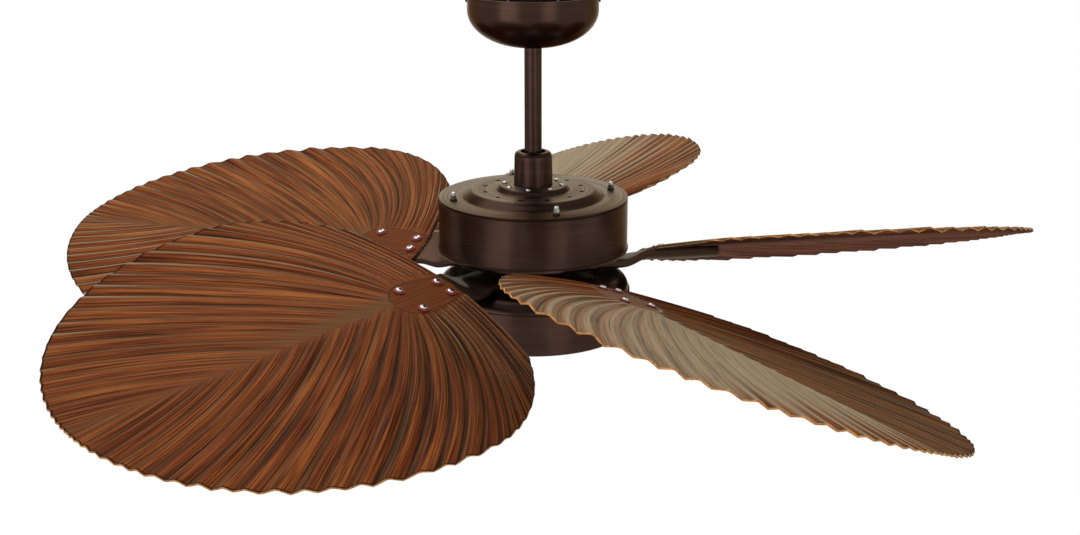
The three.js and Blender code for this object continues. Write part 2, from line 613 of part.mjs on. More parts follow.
/** Cast iron: a level arm from the flywheel that dips, twists and widens into the plate under the leaf. */
function bladeIron() {
  const plateEnd = pad.end - 1;
  const between = (from, to, shares) => shares.map((share) => from + (to - from) * share);
  const twist = between(iron.levelTo, iron.plateFrom, [0, 0.25, 0.5, 0.75, 1]);
  const nose = between(pad.widest, plateEnd, [0.5, 0.8, 1]);
  const stations = [iron.root, iron.root + 12, ...twist, pad.widest, ...nose];
  const rings = stations.map(ironSection);
  const corners = [];
  rings.slice(1).forEach((ring, i) => ring.forEach((p, j) => {
    const k = (j + 1) % ring.length;
    corners.push(rings[i][j], p, ring[k], rings[i][j], ring[k], rings[i][k]);
  }));
  for (const [ring, flip] of [[rings[0], false], [rings.at(-1), true]]) {
    for (let j = 1; j < ring.length - 1; j++) {
      corners.push(...(flip ? [ring[0], ring[j + 1], ring[j]] : [ring[0], ring[j], ring[j + 1]]));
    }
  }
  const casting = new THREE.BufferGeometry().setFromPoints(corners);
  const stubs = [-1, 1].map((side) => rodAlongZ(screws.shank, -iron.edge / 2, posts.stub, holeSides)
    .translate(posts.circle, side * posts.spread, -ironTop));
  return join(casting, ...stubs, ...atScrews(ironScrew()).map((screw) => screw.applyMatrix4(leafMatrix)));
}

/** A screw driven into the iron: shank through the leaf, washer and rounded head on top of it. */
function ironScrew() {
  const seat = leaf.thick / 2 + fit;
  const washerTop = seat + screwTop.washerThick;
  const headTop = washerTop + screwTop.headTall;
  return turned([[0, -leaf.thick / 2 - iron.edge / 2], [screws.shank, -leaf.thick / 2 - iron.edge / 2],
    [screws.shank, seat], [screwTop.washer, seat], [screwTop.washer, washerTop], [screwTop.head, washerTop],
    [0, headTop]], holeSides);
}

function bladeSet() {
  const [leafShape, ironShape] = [blade(), bladeIron()];
  bladeTurns.forEach((turn, i) => {
    const arm = new THREE.Group();
    arm.rotation.z = turn;
    fan.add(arm);
    add(`blade_${i + 1}`, leafShape, leafWood, arm);
    add(`blade_iron_${i + 1}`, ironShape, bronze, arm);
  });
}

// ---------------------------------------------------------------- switch housing
const cupRim = zHousing - housing.shoulder;
const capRadius = housing.radius - sheetWall - fit;
const switchFace = (housing.radius - sheetWall) * Math.cos(Math.PI / roundSides) - fit;

function housingHoles() {
  return around(housingScrew.count, housingScrew.turn).map((turn) =>
    rodAlongZ(housingScrew.shank + fit, housing.radius - 20, housing.radius + 20, holeSides)
      .rotateY(Math.PI / 2).rotateZ(turn).translate(0, 0, cupRim - housingScrew.below));
}

/** Domed cap of the housing, clamped on the motor shaft. */
function housingCap() {
  const crown = arc(capRadius - housing.shoulder, cupRim, housing.shoulder, housing.shoulder, 90, 0, 3);
  const skin = [[shaft.radius + fit, zHousing], ...crown, [capRadius, cupRim - housing.skirt]];
  return cut(turned(sheet(skin, sheetWall)), housingHoles());
}

/** Slot in the cup's wall for the reversing switch, at the switch's place round the housing. */
function atSwitch(geometry) {
  return geometry.rotateZ(deg(reverse.turn)).translate(0, 0, cupRim - reverse.below);
}

/** Deep round cup that closes the housing from below. */
function housingCup() {
  const corner = arc(housing.radius - housing.corner, zHousingBottom + housing.corner, housing.corner,
    housing.corner, 0, -90, 2);
  const skin = [[housing.radius, cupRim], ...corner, [plug.hole, zHousingBottom]];
  const slot = atSwitch(block(20, reverse.slotWide, reverse.slotTall, housing.radius, 0, 0));
  return cut(turned(sheet(skin, sheetWall)), [...housingHoles(), slot]);
}

function housingScrews() {
  around(housingScrew.count, housingScrew.turn).forEach((turn, i) => {
    const seat = housing.radius + fit;
    const screw = turned([[0, seat - housingScrew.long], [housingScrew.shank, seat - housingScrew.long],
      [housingScrew.shank, seat], [housingScrew.head, seat],
      [housingScrew.head * 0.75, seat + housingScrew.headTall],
      [0, seat + housingScrew.headTall]], holeSides);
    screw.rotateY(Math.PI / 2).rotateZ(turn).translate(0, 0, cupRim - housingScrew.below);
    add(`housing_screw_${i + 1}`, screw, bronze);
  });
}

function reverseSwitch() {
  const body = block(reverse.deep, reverse.wide, reverse.tall, switchFace - reverse.deep / 2, 0, 0);
  const recess = block(reverse.recess * 2, reverse.slotWide, reverse.slotTall, switchFace, 0, 0);
  return cut(atSwitch(body), [atSwitch(recess)]);
}

/** The slider rests at the bottom of its slot and travels up to the top. */
function reverseSlider() {
  const inside = switchFace - reverse.recess + fit;
  const outside = housing.radius + slider.proud;
  const restZ = slider.play + (slider.tall - reverse.slotTall) / 2;
  return atSwitch(block(outside - inside, slider.wide, slider.tall, (outside + inside) / 2, 0, restZ));
}

function capacitorCase() {
  const { length, width, corner } = capacitor;
  const outline = new THREE.Shape();
  const [x, y] = [length / 2, width / 2];
  outline.moveTo(-x + corner, -y).lineTo(x - corner, -y);
  outline.absarc(x - corner, -y + corner, corner, -Math.PI / 2, 0);
  outline.lineTo(x, y - corner).absarc(x - corner, y - corner, corner, 0, Math.PI / 2);
  outline.lineTo(-x + corner, y).absarc(-x + corner, y - corner, corner, Math.PI / 2, Math.PI);
  outline.lineTo(-x, -y + corner).absarc(-x + corner, -y + corner, corner, Math.PI, Math.PI * 1.5);
  const box = new THREE.ExtrudeGeometry(outline,
    { depth: capacitor.tall, bevelEnabled: false, curveSegments: 3 });
  return box.translate(0, capacitor.offset, zHousing - sheetWall - fit - capacitor.tall);
}

function centrePlug() {
  const seat = zHousingBottom - fit;
  return turned([[0, zHousingBottom + plug.stemTall], [plug.stem, zHousingBottom + plug.stemTall],
    [plug.stem, seat], [plug.radius, seat], [plug.radius - plug.cap / 2, seat - plug.cap],
    [0, seat - plug.cap]], innerSides);
}

function switchHousing() {
  add('housing_cap', housingCap(), bronze);
  add('housing_cup', housingCup(), bronze);
  const bore = rodAlongZ(shaft.radius + fit, zHousing - through, zHousing + through, innerSides);
  const nut = (bottom) => cut(rodAlongZ(shaftNut.radius, bottom, bottom + shaftNut.tall, 6), [bore]);
  add('shaft_nut_upper', nut(zHousing + fit), zinc);
  add('shaft_nut_lower', nut(zHousing - sheetWall - fit - shaftNut.tall), zinc);
  add('run_capacitor', capacitorCase(), blackPlastic);
  add('reverse_switch', reverseSwitch(), blackPlastic);
  add('reverse_slider', reverseSlider(), blackPlastic);
  add('centre_plug', centrePlug(), bronze);
  housingScrews();
}

// ---------------------------------------------------------------- the whole fan
add('hanger_bracket', hangerBracket(), zinc);
add('canopy', canopyShell(), bronze);
canopyScrews();
hangingHardware();
motorHousing();
motor();
bladeSet();
switchHousing();

export default fan;
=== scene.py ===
"""Looks of a downrod ceiling fan with pleated palm-leaf blades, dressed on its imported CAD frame.

Lengths are metres in the frame's own axes: +Z up, the ceiling at z = 0, the fan hanging on the Z axis.
Angles are radians, except where a comment or a docstring says degrees.
"""

import logging
import math
from dataclasses import dataclass
from enum import Enum
from typing import Callable, Optional, Sequence, Union

import bpy
import numpy as np
from mathutils import Matrix, Vector


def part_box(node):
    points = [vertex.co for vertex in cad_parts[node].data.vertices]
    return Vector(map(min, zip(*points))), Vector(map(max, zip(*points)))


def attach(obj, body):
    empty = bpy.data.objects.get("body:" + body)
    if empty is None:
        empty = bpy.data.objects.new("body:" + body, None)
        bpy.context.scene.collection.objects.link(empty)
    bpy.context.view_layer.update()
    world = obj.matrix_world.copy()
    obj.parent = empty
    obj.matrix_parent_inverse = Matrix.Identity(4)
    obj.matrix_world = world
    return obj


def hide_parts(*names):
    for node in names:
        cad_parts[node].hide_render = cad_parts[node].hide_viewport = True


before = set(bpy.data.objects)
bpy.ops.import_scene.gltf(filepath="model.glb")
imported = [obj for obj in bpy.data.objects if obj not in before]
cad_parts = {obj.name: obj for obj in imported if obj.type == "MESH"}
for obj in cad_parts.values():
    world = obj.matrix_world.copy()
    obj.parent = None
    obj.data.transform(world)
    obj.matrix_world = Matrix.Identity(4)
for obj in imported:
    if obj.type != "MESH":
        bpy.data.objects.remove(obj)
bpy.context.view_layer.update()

log = logging.getLogger("fan")
Profile = list[tuple[float, float]]
Colour = tuple[int, int, int]
Value = Union["Signal", float, tuple[float, ...]]
FIT = 0.0003  # gap between pieces that seat on each other
SHEET = 0.0012  # wall of the pressed covers
WELD = 0.00002  # vertices closer than this are one
BLADES = 5
FIRST_BLADE = math.radians(-57.5)
WHITE = (1.0, 1.0, 1.0, 1.0)


def rgb(colour: Colour) -> tuple[float, float, float, float]:
    """Turns a colour as a screen shows it into the linear colour that shaders use.

    Args:
        colour: Red, green and blue, 0 to 255.

    Returns:
        Linear red, green, blue and an alpha of 1.
    """
    parts = [c / 255 for c in colour]
    linear = [c / 12.92 if c <= 0.04045 else ((c + 0.055) / 1.055) ** 2.4 for c in parts]
    return (linear[0], linear[1], linear[2], 1.0)


def blade_turn(number: int) -> float:
    """Gives the angle of a blade round the shaft, with blades counted from 1."""
    return FIRST_BLADE + 2 * math.pi * (number - 1) / BLADES


def on_circle(radius: float, turn: float, height: float = 0.0) -> Vector:
    """Gives a place on a circle about the shaft."""
    return Vector((radius * math.cos(turn), radius * math.sin(turn), height))


def blade_axes(droop: float, pitch: float) -> tuple[Vector, Vector, Vector]:
    """Gives the axes of a blade that points along +X.

    Args:
        droop: How far its far end leans down.
        pitch: How far it is twisted about its length.

    Returns:
        Unit vectors along it, across it and up from it.
    """
    along = Vector((math.cos(droop), 0, -math.sin(droop)))
    upright = along.cross(Vector((0, 1, 0)))
    across = Vector((0, 1, 0)) * math.cos(pitch) - upright * math.sin(pitch)
    return along, across, along.cross(across)


# ------------------------------------------------------------------ shaders


class Signal:
    """An output socket of a shader that Python's operators work on."""

    def __init__(self, sheet: "ShaderSheet", socket: bpy.types.NodeSocket) -> None:
        """Keeps the socket and the sheet that new nodes go to."""
        self.sheet = sheet
        self.socket = socket

    def _math(self, operation: str, *values: Value) -> "Signal":
        """Adds a Math node on the given values."""
        return self.sheet.node("ShaderNodeMath", {"operation": operation}, dict(enumerate(values)))

    def __add__(self, other: Value) -> "Signal":
        """Sum."""
        return self._math("ADD", self, other)

    __radd__ = __add__

    def __sub__(self, other: Value) -> "Signal":
        """Difference."""
        return self._math("SUBTRACT", self, other)

    def __rsub__(self, other: Value) -> "Signal":
        """Difference from a number."""
        return self._math("SUBTRACT", other, self)

    def __mul__(self, other: Value) -> "Signal":
        """Product."""
        return self._math("MULTIPLY", self, other)

    __rmul__ = __mul__

    def __truediv__(self, other: Value) -> "Signal":
        """Quotient."""
        return self._math("DIVIDE", self, other)

    def __abs__(self) -> "Signal":
        """Size without sign."""
        return self._math("ABSOLUTE", self)

    def floor(self) -> "Signal":
        """Largest whole number that isn't above it."""
        return self._math("FLOOR", self)

    def root(self) -> "Signal":
        """Square root."""
        return self._math("SQRT", self)

    def step(self, low: float, high: float) -> "Signal":
        """Rises smoothly from 0 at low to 1 at high, or falls where low is the larger.

        Args:
            low: Value that gives 0.
            high: Value that gives 1.

        Returns:
            The mask.
        """
        settings = {"interpolation_type": "SMOOTHSTEP"}
        if low < high:
            return self.sheet.node("ShaderNodeMapRange", settings, {0: self, 1: low, 2: high})
        return 1 - self.sheet.node("ShaderNodeMapRange", settings, {0: self, 1: high, 2: low})


class ShaderSheet:
    """The nodes of one material or world, with short ways to add to them."""

    def __init__(self, owner: Union[bpy.types.Material, bpy.types.World], shader: str) -> None:
        """Opens the nodes.

        Args:
            owner: The material or world.
            shader: Name of the shader node that it starts with.
        """
        owner.use_nodes = True
        self.owner = owner
        self.tree = owner.node_tree
        self.shader = self.tree.nodes[shader]

    @classmethod
    def material(cls, name: str) -> "ShaderSheet":
        """Starts a material with an empty Principled shader."""
        return cls(bpy.data.materials.new(name), "Principled BSDF")

    def node(self, kind: str, settings: Optional[dict] = None, inputs: Optional[dict] = None,
             output: Union[int, str] = 0) -> Signal:
        """Adds a node, applies its settings and then feeds its sockets.

        Args:
            kind: Blender's name of the node's type.
            settings: Properties of the node; "stops" fills a colour ramp.
            inputs: Socket name or number to a value or a Signal.
            output: Which output to return.

        Returns:
            The chosen output.
        """
        added = self.tree.nodes.new(kind)
        for key, value in (settings or {}).items():
            if key == "stops":
                self._fill_ramp(added.color_ramp, value)
            else:
                setattr(added, key, value)
        for key, value in (inputs or {}).items():
            self.feed(added.inputs[key], value)
        return Signal(self, added.outputs[output])

    def _fill_ramp(self, ramp: bpy.types.ColorRamp, stops: Sequence[tuple[float, Colour]]) -> None:
        """Gives a colour ramp its stops.

        Args:
            ramp: The ramp.
            stops: Place and colour of each stop.
        """
        while len(ramp.elements) < len(stops):
            ramp.elements.new(0.5)
        for element, (place, colour) in zip(ramp.elements, stops):
            element.position = place
            element.color = rgb(colour)

    def feed(self, socket: bpy.types.NodeSocket, value: Value) -> None:
        """Links a Signal to a socket, or writes a plain value on it.

        Args:
            socket: The socket to feed.
            value: A Signal or a plain value.
        """
        if isinstance(value, Signal):
            self.tree.links.new(value.socket, socket)
        else:
            socket.default_value = value

    def finish(self, **values: Value) -> Union[bpy.types.Material, bpy.types.World]:
        """Sets sockets of the shader; underscores in names stand for spaces.

        Args:
            values: Socket name to a value or a Signal.

        Returns:
            The finished material or world.
        """
        for name, value in values.items():
            self.feed(self.shader.inputs[name.replace("_", " ")], value)
        return self.owner

    def outputs(self, signal: Signal, *names: Union[int, str]) -> list[Signal]:
        """Gives chosen outputs of the node that a signal comes from."""
        return [Signal(self, signal.socket.node.outputs[name]) for name in names]

    def split(self, vector: Signal) -> list[Signal]:
        """Splits a vector into its three parts."""
        return self.outputs(self.node("ShaderNodeSeparateXYZ", inputs={0: vector}), 0, 1, 2)

    def join(self, x: Value, y: Value, z: Value = 0.0) -> Signal:
        """Joins three numbers or signals into a vector."""
        return self.node("ShaderNodeCombineXYZ", inputs={0: x, 1: y, 2: z})

    def place(self) -> Signal:
        """Object coordinates."""
        return self.node("ShaderNodeTexCoord", output="Object")

    def radius(self) -> Signal:
        """Distance from the fan's axis."""
        x, y, _ = self.split(self.place())
        return (x * x + y * y).root()

    def upward(self) -> Signal:
        """How far a face looks up: 1 on a level top, 0 on a wall."""
        return self.split(self.node("ShaderNodeNewGeometry", output="Normal"))[2]

    def attribute(self, name: str) -> Signal:
        """Reads a number that the mesh carries at its vertices."""
        return self.node("ShaderNodeAttribute", {"attribute_name": name}, output="Fac")

    def noise(self, vector: Signal, scale: float, detail: float = 3.0, roughness: float = 0.6,
              w: Optional[Signal] = None) -> Signal:
        """Smooth noise about 0.5.

        Args:
            vector: Coordinates.
            scale: Cells per unit.
            detail: Octaves.
            roughness: Share that each finer octave keeps.
            w: Fourth coordinate, if any.

        Returns:
            The noise's value.
        """
        inputs: dict = {"Vector": vector, "Scale": scale, "Detail": detail, "Roughness": roughness}
        if w is None:
            return self.node("ShaderNodeTexNoise", {"noise_dimensions": "3D"}, inputs)
        return self.node("ShaderNodeTexNoise", {"noise_dimensions": "4D"}, {**inputs, "W": w})

    def rings(self, along: float, level: float, outward: float = 0.0, detail: float = 2.0,
              roughness: float = 0.5) -> Signal:
        """Noise that is drawn out into fine rings about the fan's axis.

        Args:
            along: Cells per metre along a ring.
            level: Cells per metre of height.
            outward: Cells per metre of radius, if any.
            detail: Octaves.
            roughness: Share that each finer octave keeps.

        Returns:
            The noise's value.
        """
        x, y, z = self.split(self.place())
        w = self.radius() * outward if outward else None
        return self.noise(self.join(x * along, y * along, z * level), 1.0, detail, roughness, w)

    def mix(self, factor: Value, low: Union[Signal, Colour], high: Union[Signal, Colour]) -> Signal:
        """Mixes two colours."""
        low, high = (end if isinstance(end, Signal) else rgb(end) for end in (low, high))
        return self.node("ShaderNodeMix", {"data_type": "RGBA"}, {0: factor, 6: low, 7: high}, 2)

    def bump(self, height: Signal, distance: float, strength: float = 1.0) -> Signal:
        """Bump normal from a height of 0 to 1 over a distance in metres."""
        return self.node("ShaderNodeBump", inputs={"Height": height, "Distance": distance,
                                                   "Strength": strength})

    def grazing(self, low: float, high: float, relief: Optional[Signal] = None) -> Signal:
        """Mask of upward faces that are seen nearly edge on.

        Args:
            low: Facing value, 0 square on and 1 edge on, at which the mask starts.
            high: Facing value at which it is full.
            relief: Height that tilts the faces for the mask, if any.

        Returns:
            The mask.
        """
        inputs: dict = {"Blend": 0.5}
        if relief is not None:
            inputs["Normal"] = self.bump(relief, 0.0002)
        facing = self.node("ShaderNodeLayerWeight", inputs=inputs, output="Facing")
        return facing.step(low, high) * self.upward().step(0.2, 0.7)


class Brushing(Enum):
    """How the surface of a bronze piece was made."""

    TURNED = "turned"
    CAST = "cast"


@dataclass(frozen=True)
class BronzeFinish:
    """Dark oil-rubbed bronze paint on steel, brushed in rings or left as cast."""

    name: str
    brushing: Brushing = Brushing.TURNED
    tone: Colour = (54, 37, 31)
    worn: Colour = (72, 55, 48)
    painted_sheen: Colour = (148, 140, 124)
    shaded: Colour = (24, 16, 14)
    glint: Colour = (196, 182, 166)
    roughness: float = 0.24
    metallic: float = 0.9
    lines_per_metre: float = 1100.0
    cast_cells: float = 900.0
    cloud_cells: float = 22.0
    shaded_slope: float = 0.75
    painted_dark_reflection: float = 0.75
    cast_painted_sheen: float = 0.6

    def make(self) -> bpy.types.Material:
        """Builds the material.

        Returns:
            The finished material.
        """
        sheet = ShaderSheet.material(self.name)
        upward = sheet.upward()
        cloud = sheet.noise(sheet.place(), self.cloud_cells, 4.0, 0.55)
        if self.brushing is Brushing.TURNED:
            lines = sheet.rings(7.0, self.lines_per_metre, 0.4 * self.lines_per_metre, 4.0, 0.6)
            sideways = abs(sheet.split(sheet.place())[0]) / sheet.radius()
            # painted sheen: a pale reflection painted on upward faces seen nearly edge on, taken away
            # at the front and back where a painted dark reflection of the cover goes
            bright = sheet.grazing(0.55, 0.84) * (1 - self.painted_dark_reflection * sideways.step(0.5, 0.12))
            # painted shade on sloping faces
            slope = upward.step(0.1, 0.3) * upward.step(0.985, 0.9) * self.shaded_slope
            metal, stretch, relief = self.metallic, 0.5, 0.00002
        else:
            lines = sheet.noise(sheet.place(), self.cast_cells)
            # painted sheen on the level tops of the casting, made less metallic there so that it shows
            bright = sheet.grazing(0.7, 0.73) * upward.step(0.84, 0.92) * self.cast_painted_sheen
            slope = None
            metal, stretch, relief = self.metallic - 0.8 * bright, 0.0, 0.00005
        rubbed = lines.step(0.42, 0.72) * 0.55 + cloud.step(0.45, 0.75) * 0.3
        shade = sheet.mix(rubbed, self.tone, self.worn)
        # mixes in the painted sheen, streaked by the rings, then on turned pieces the painted shade on
        # slopes
        shade = sheet.mix(bright * (0.35 + 0.65 * lines.step(0.36, 0.62)), shade, self.painted_sheen)
        if slope is not None:
            shade = sheet.mix(slope, shade, self.shaded)
        return sheet.finish(Base_Color=shade, Metallic=metal, Normal=sheet.bump(lines, relief, 0.6),
                            Roughness=self.roughness - 0.05 + 0.16 * lines + 0.05 * cloud,
                            Anisotropic=stretch, Anisotropic_Rotation=0.25,
                            Specular_Tint=rgb(self.glint))


@dataclass(frozen=True)
class PlainMetalFinish:
    """Bare or plated metal with a little unevenness."""

    name: str
    tone: Colour
    roughness: float
    cells: float = 300.0
    dulling: float = 0.8

    def make(self) -> bpy.types.Material:
        """Builds the material.

        Returns:
            The finished material.
        """
        sheet = ShaderSheet.material(self.name)
        spots = sheet.noise(sheet.place(), self.cells, 4.0)
        dull = tuple(int(c * self.dulling) for c in self.tone)
        return sheet.finish(Base_Color=sheet.mix(spots.step(0.4, 0.7), self.tone, dull), Metallic=1.0,
                            Roughness=self.roughness + 0.12 * spots,
                            Normal=sheet.bump(spots, 0.00003, 0.5))


@dataclass(frozen=True)
class LaminationFinish:
    """Varnished stack of thin sheets that shows as fine level lines."""

    name: str
    tone: Colour = (86, 88, 92)
    gap: Colour = (52, 50, 50)
    sheets_per_metre: float = 2000.0

    def make(self) -> bpy.types.Material:
        """Builds the material.

        Returns:
            The finished material.
        """
        sheet = ShaderSheet.material(self.name)
        layer = sheet.rings(8.0, self.sheets_per_metre)
        return sheet.finish(Base_Color=sheet.mix(layer.step(0.4, 0.6), self.tone, self.gap),
                            Metallic=0.8, Roughness=0.4 + 0.2 * layer,
                            Normal=sheet.bump(layer, 0.0001, 0.7))


@dataclass(frozen=True)
class CopperFinish:
    """Enamelled copper wire wound round a ring."""

    name: str
    between: Colour = (96, 44, 20)
    wire: Colour = (196, 112, 62)
    wires_per_metre: float = 1400.0

    def make(self) -> bpy.types.Material:
        """Builds the material.

        Returns:
            The finished material.
        """
        sheet = ShaderSheet.material(self.name)
        wires = sheet.rings(30.0, self.wires_per_metre, self.wires_per_metre)
        return sheet.finish(Base_Color=sheet.mix(wires.step(0.35, 0.65), self.between, self.wire),
                            Metallic=0.85, Roughness=0.3 + 0.2 * wires,
                            Normal=sheet.bump(wires, 0.0003, 0.8))


@dataclass(frozen=True)
class MouldedFinish:
    """Moulded plastic or fibre with a fine grain."""

    name: str
    tone: Colour
    roughness: float = 0.45
    cells: float = 1500.0

    def make(self) -> bpy.types.Material:
        """Builds the material.

        Returns:
            The finished material.
        """
        sheet = ShaderSheet.material(self.name)
        grain = sheet.noise(sheet.place(), self.cells)
        pale = tuple(min(255, int(c * 1.25) + 6) for c in self.tone)
        return sheet.finish(Base_Color=sheet.mix(grain.step(0.45, 0.8), self.tone, pale),
                            Roughness=self.roughness + 0.1 * grain,
                            Normal=sheet.bump(grain, 0.00004, 0.5))


@dataclass(frozen=True)
class LeafFinish:
    """Satin walnut stain on a pleated leaf, with dark grain that runs along the pleats."""

    name: str
    deep: Colour = (68, 31, 15)
    middle: Colour = (116, 59, 30)
    bright: Colour = (152, 89, 45)
    streak: Colour = (36, 22, 14)
    dusk: Colour = (98, 68, 42)
    olive: Colour = (58, 76, 52)
    painted_sheen: Colour = (143, 128, 103)
    pad_bright: Colour = (120, 62, 28)
    pad_deep: Colour = (76, 36, 17)
    valley_dark: float = 0.36
    crease_dark: float = 0.4
    lee_dark: float = 0.42
    lee_spared: float = 0.2
    low_sun_dark: float = 0.7
    outline_dark: float = 0.55
    rim_dark: float = 0.9
    rim_width: float = 0.003
    painted_veil: float = 0.18
    painted_haze: float = 0.9

    def make(self) -> bpy.types.Material:
        """Builds the material from the leaf's pleat map and its shape attributes.

        Returns:
            The finished material.
        """
        sheet = ShaderSheet.material(self.name)
        pleat, along, _ = sheet.split(sheet.node("ShaderNodeUVMap", {"uv_map": Leaf.PLEAT_MAP}))
        relief, to_rim, in_pad, by_rib = (
            sheet.attribute(key) for key in (Leaf.RELIEF, Leaf.TO_RIM, Leaf.IN_PAD, Leaf.BY_RIB))
        # grain: three noises, each drawn out along the pleats
        tint = sheet.node("ShaderNodeTexWhiteNoise", {"noise_dimensions": "1D"},
                          {"W": pleat.floor() + 0.5})
        broad = sheet.noise(sheet.join(pleat * 0.8, along * 4.0), 1.0, 2.0, 0.5)
        figure = sheet.noise(sheet.join(pleat * 8.0, along * 6.0, broad * 2.0), 1.0)
        fine = sheet.noise(sheet.join(pleat * 21.0, along * 8.0), 1.0, 3.0, 0.65)
        tone = broad * 0.2 + figure * 0.5 + fine * 0.3 + tint * 0.05 - 0.025
        stops = [(0.4, self.deep), (0.5, self.middle), (0.6, self.bright)]
        wood = sheet.node("ShaderNodeValToRGB", {"stops": stops}, {0: tone})
        pores = fine.step(0.47, 0.36) * 0.65 + figure.step(0.45, 0.36) * 0.35
        # painted shade in the valleys, in the creases, on the slopes away from the light and on the
        # leading half where it is seen nearly edge on, over the dark grain
        crease = relief.step(-0.4, -0.95)
        valley = relief.step(0.3, -1.0) * self.valley_dark + crease * self.crease_dark
        leading = pleat.step(Leaf.TRAILING * 0.5, Leaf.TRAILING * 0.25)
        far_slope = (pleat - pleat.floor()).step(0.5, 0.58)
        lee = leading * far_slope * (self.lee_dark - self.lee_spared * pleat.step(10.0, 22.0))
        low_sun = leading * sheet.grazing(0.6, 0.75) * self.low_sun_dark
        grain_and_shade = sheet.mix(pores + valley + lee + low_sun, wood, self.streak)
        grain_and_shade = sheet.mix(by_rib * (0.4 + 1.2 * figure), grain_and_shade, self.dusk)
        # the flat pad, its outline and the dark rim
        pad = in_pad.step(-0.0006, 0.0006)
        pad_wood = sheet.mix(figure.step(0.35, 0.65), self.pad_bright, self.pad_deep)
        body = sheet.mix(pad, grain_and_shade, sheet.mix(pores * 0.7, pad_wood, self.streak))
        wander = figure - 0.5
        outline = abs(in_pad + wander * 0.004).step(0.0022, 0.0002) * self.outline_dark
        rim = (to_rim + wander * 0.0024).step(self.rim_width, self.rim_width * 0.5) * self.rim_dark
        edged = sheet.mix(outline + rim, body, self.streak)
        # painted sheen of a leaf that is seen nearly edge on: an olive veil, then a pale haze, less in
        # pores, creases, the root lobe and the pad
        edged = sheet.mix(sheet.grazing(0.4, 0.56) * self.painted_veil, edged, self.olive)
        root_lobe = (pleat.step(Leaf.TRAILING - 1.0, Leaf.TRAILING)
                     * pleat.step(Leaf.TRAILING + 20.0, Leaf.TRAILING + 6.0))
        painted_haze = sheet.grazing(0.68, 0.79, relief) * (self.painted_haze - 0.75 * pores) * (1 - 0.8 * crease)
        painted_haze = painted_haze * (1 - 0.85 * root_lobe * relief.step(0.8, 0.1)) * (1 - 0.8 * pad)
        return sheet.finish(Base_Color=sheet.mix(painted_haze, edged, self.painted_sheen),
                            Roughness=0.5 + 0.16 * fine, Specular_IOR_Level=0.015,
                            Normal=sheet.bump(fine * 0.6 + figure * 0.4, 0.0005, 0.55))


@dataclass(frozen=True)
class CutEdgeFinish:
    """Bare orange-tan wood where the leaf's edge is cut."""

    name: str
    pale: Colour = (206, 142, 66)
    burnt: Colour = (126, 70, 26)
    cells: float = 180.0

    def make(self) -> bpy.types.Material:
        """Builds the material.

        Returns:
            The finished material.
        """
        sheet = ShaderSheet.material(self.name)
        fibre = sheet.noise(sheet.place(), self.cells, 5.0, 0.7)
        return sheet.finish(Base_Color=sheet.mix(fibre.step(0.35, 0.7), self.pale, self.burnt),
                            Roughness=0.6 + 0.15 * fibre, Normal=sheet.bump(fibre, 0.0004, 0.6))


@dataclass(frozen=True)
class Finishes:
    """Every finish of the fan, made once."""

    bronze: bpy.types.Material
    casting: bpy.types.Material
    leaf: bpy.types.Material
    cut_edge: bpy.types.Material
    zinc: bpy.types.Material
    steel: bpy.types.Material
    nickel: bpy.types.Material
    laminations: bpy.types.Material
    copper: bpy.types.Material
    plastic: bpy.types.Material
    red_fibre: bpy.types.Material
    brown_rubber: bpy.types.Material
    shadow: bpy.types.Material

    @classmethod
    def make(cls) -> "Finishes":
        """Makes all the materials.

        Returns:
            The finishes, ready to dress pieces with.
        """
        return cls(
            bronze=BronzeFinish("oil_rubbed_bronze").make(),
            casting=BronzeFinish("cast_bronze", Brushing.CAST, roughness=0.42).make(),
            leaf=LeafFinish("walnut_leaf").make(),
            cut_edge=CutEdgeFinish("cut_leaf_edge").make(),
            zinc=PlainMetalFinish("zinc_plate", (176, 178, 180), 0.3).make(),
            steel=PlainMetalFinish("ground_steel", (150, 152, 155), 0.25).make(),
            nickel=PlainMetalFinish("bright_nickel", (176, 174, 170), 0.16, 400.0).make(),
            laminations=LaminationFinish("sheet_stack").make(),
            copper=CopperFinish("copper_wire").make(),
            plastic=MouldedFinish("black_plastic", (26, 25, 25)).make(),
            red_fibre=MouldedFinish("red_fibre", (116, 14, 10), 0.75, 900.0).make(),
            brown_rubber=MouldedFinish("brown_rubber", (92, 40, 26), 0.5).make(),
            # painted shade: a dark material that lines the screws' cross recesses
            shadow=MouldedFinish("painted_recess_shade", (22, 19, 18), 0.6).make(),
        )


# ------------------------------------------------------------------ bench


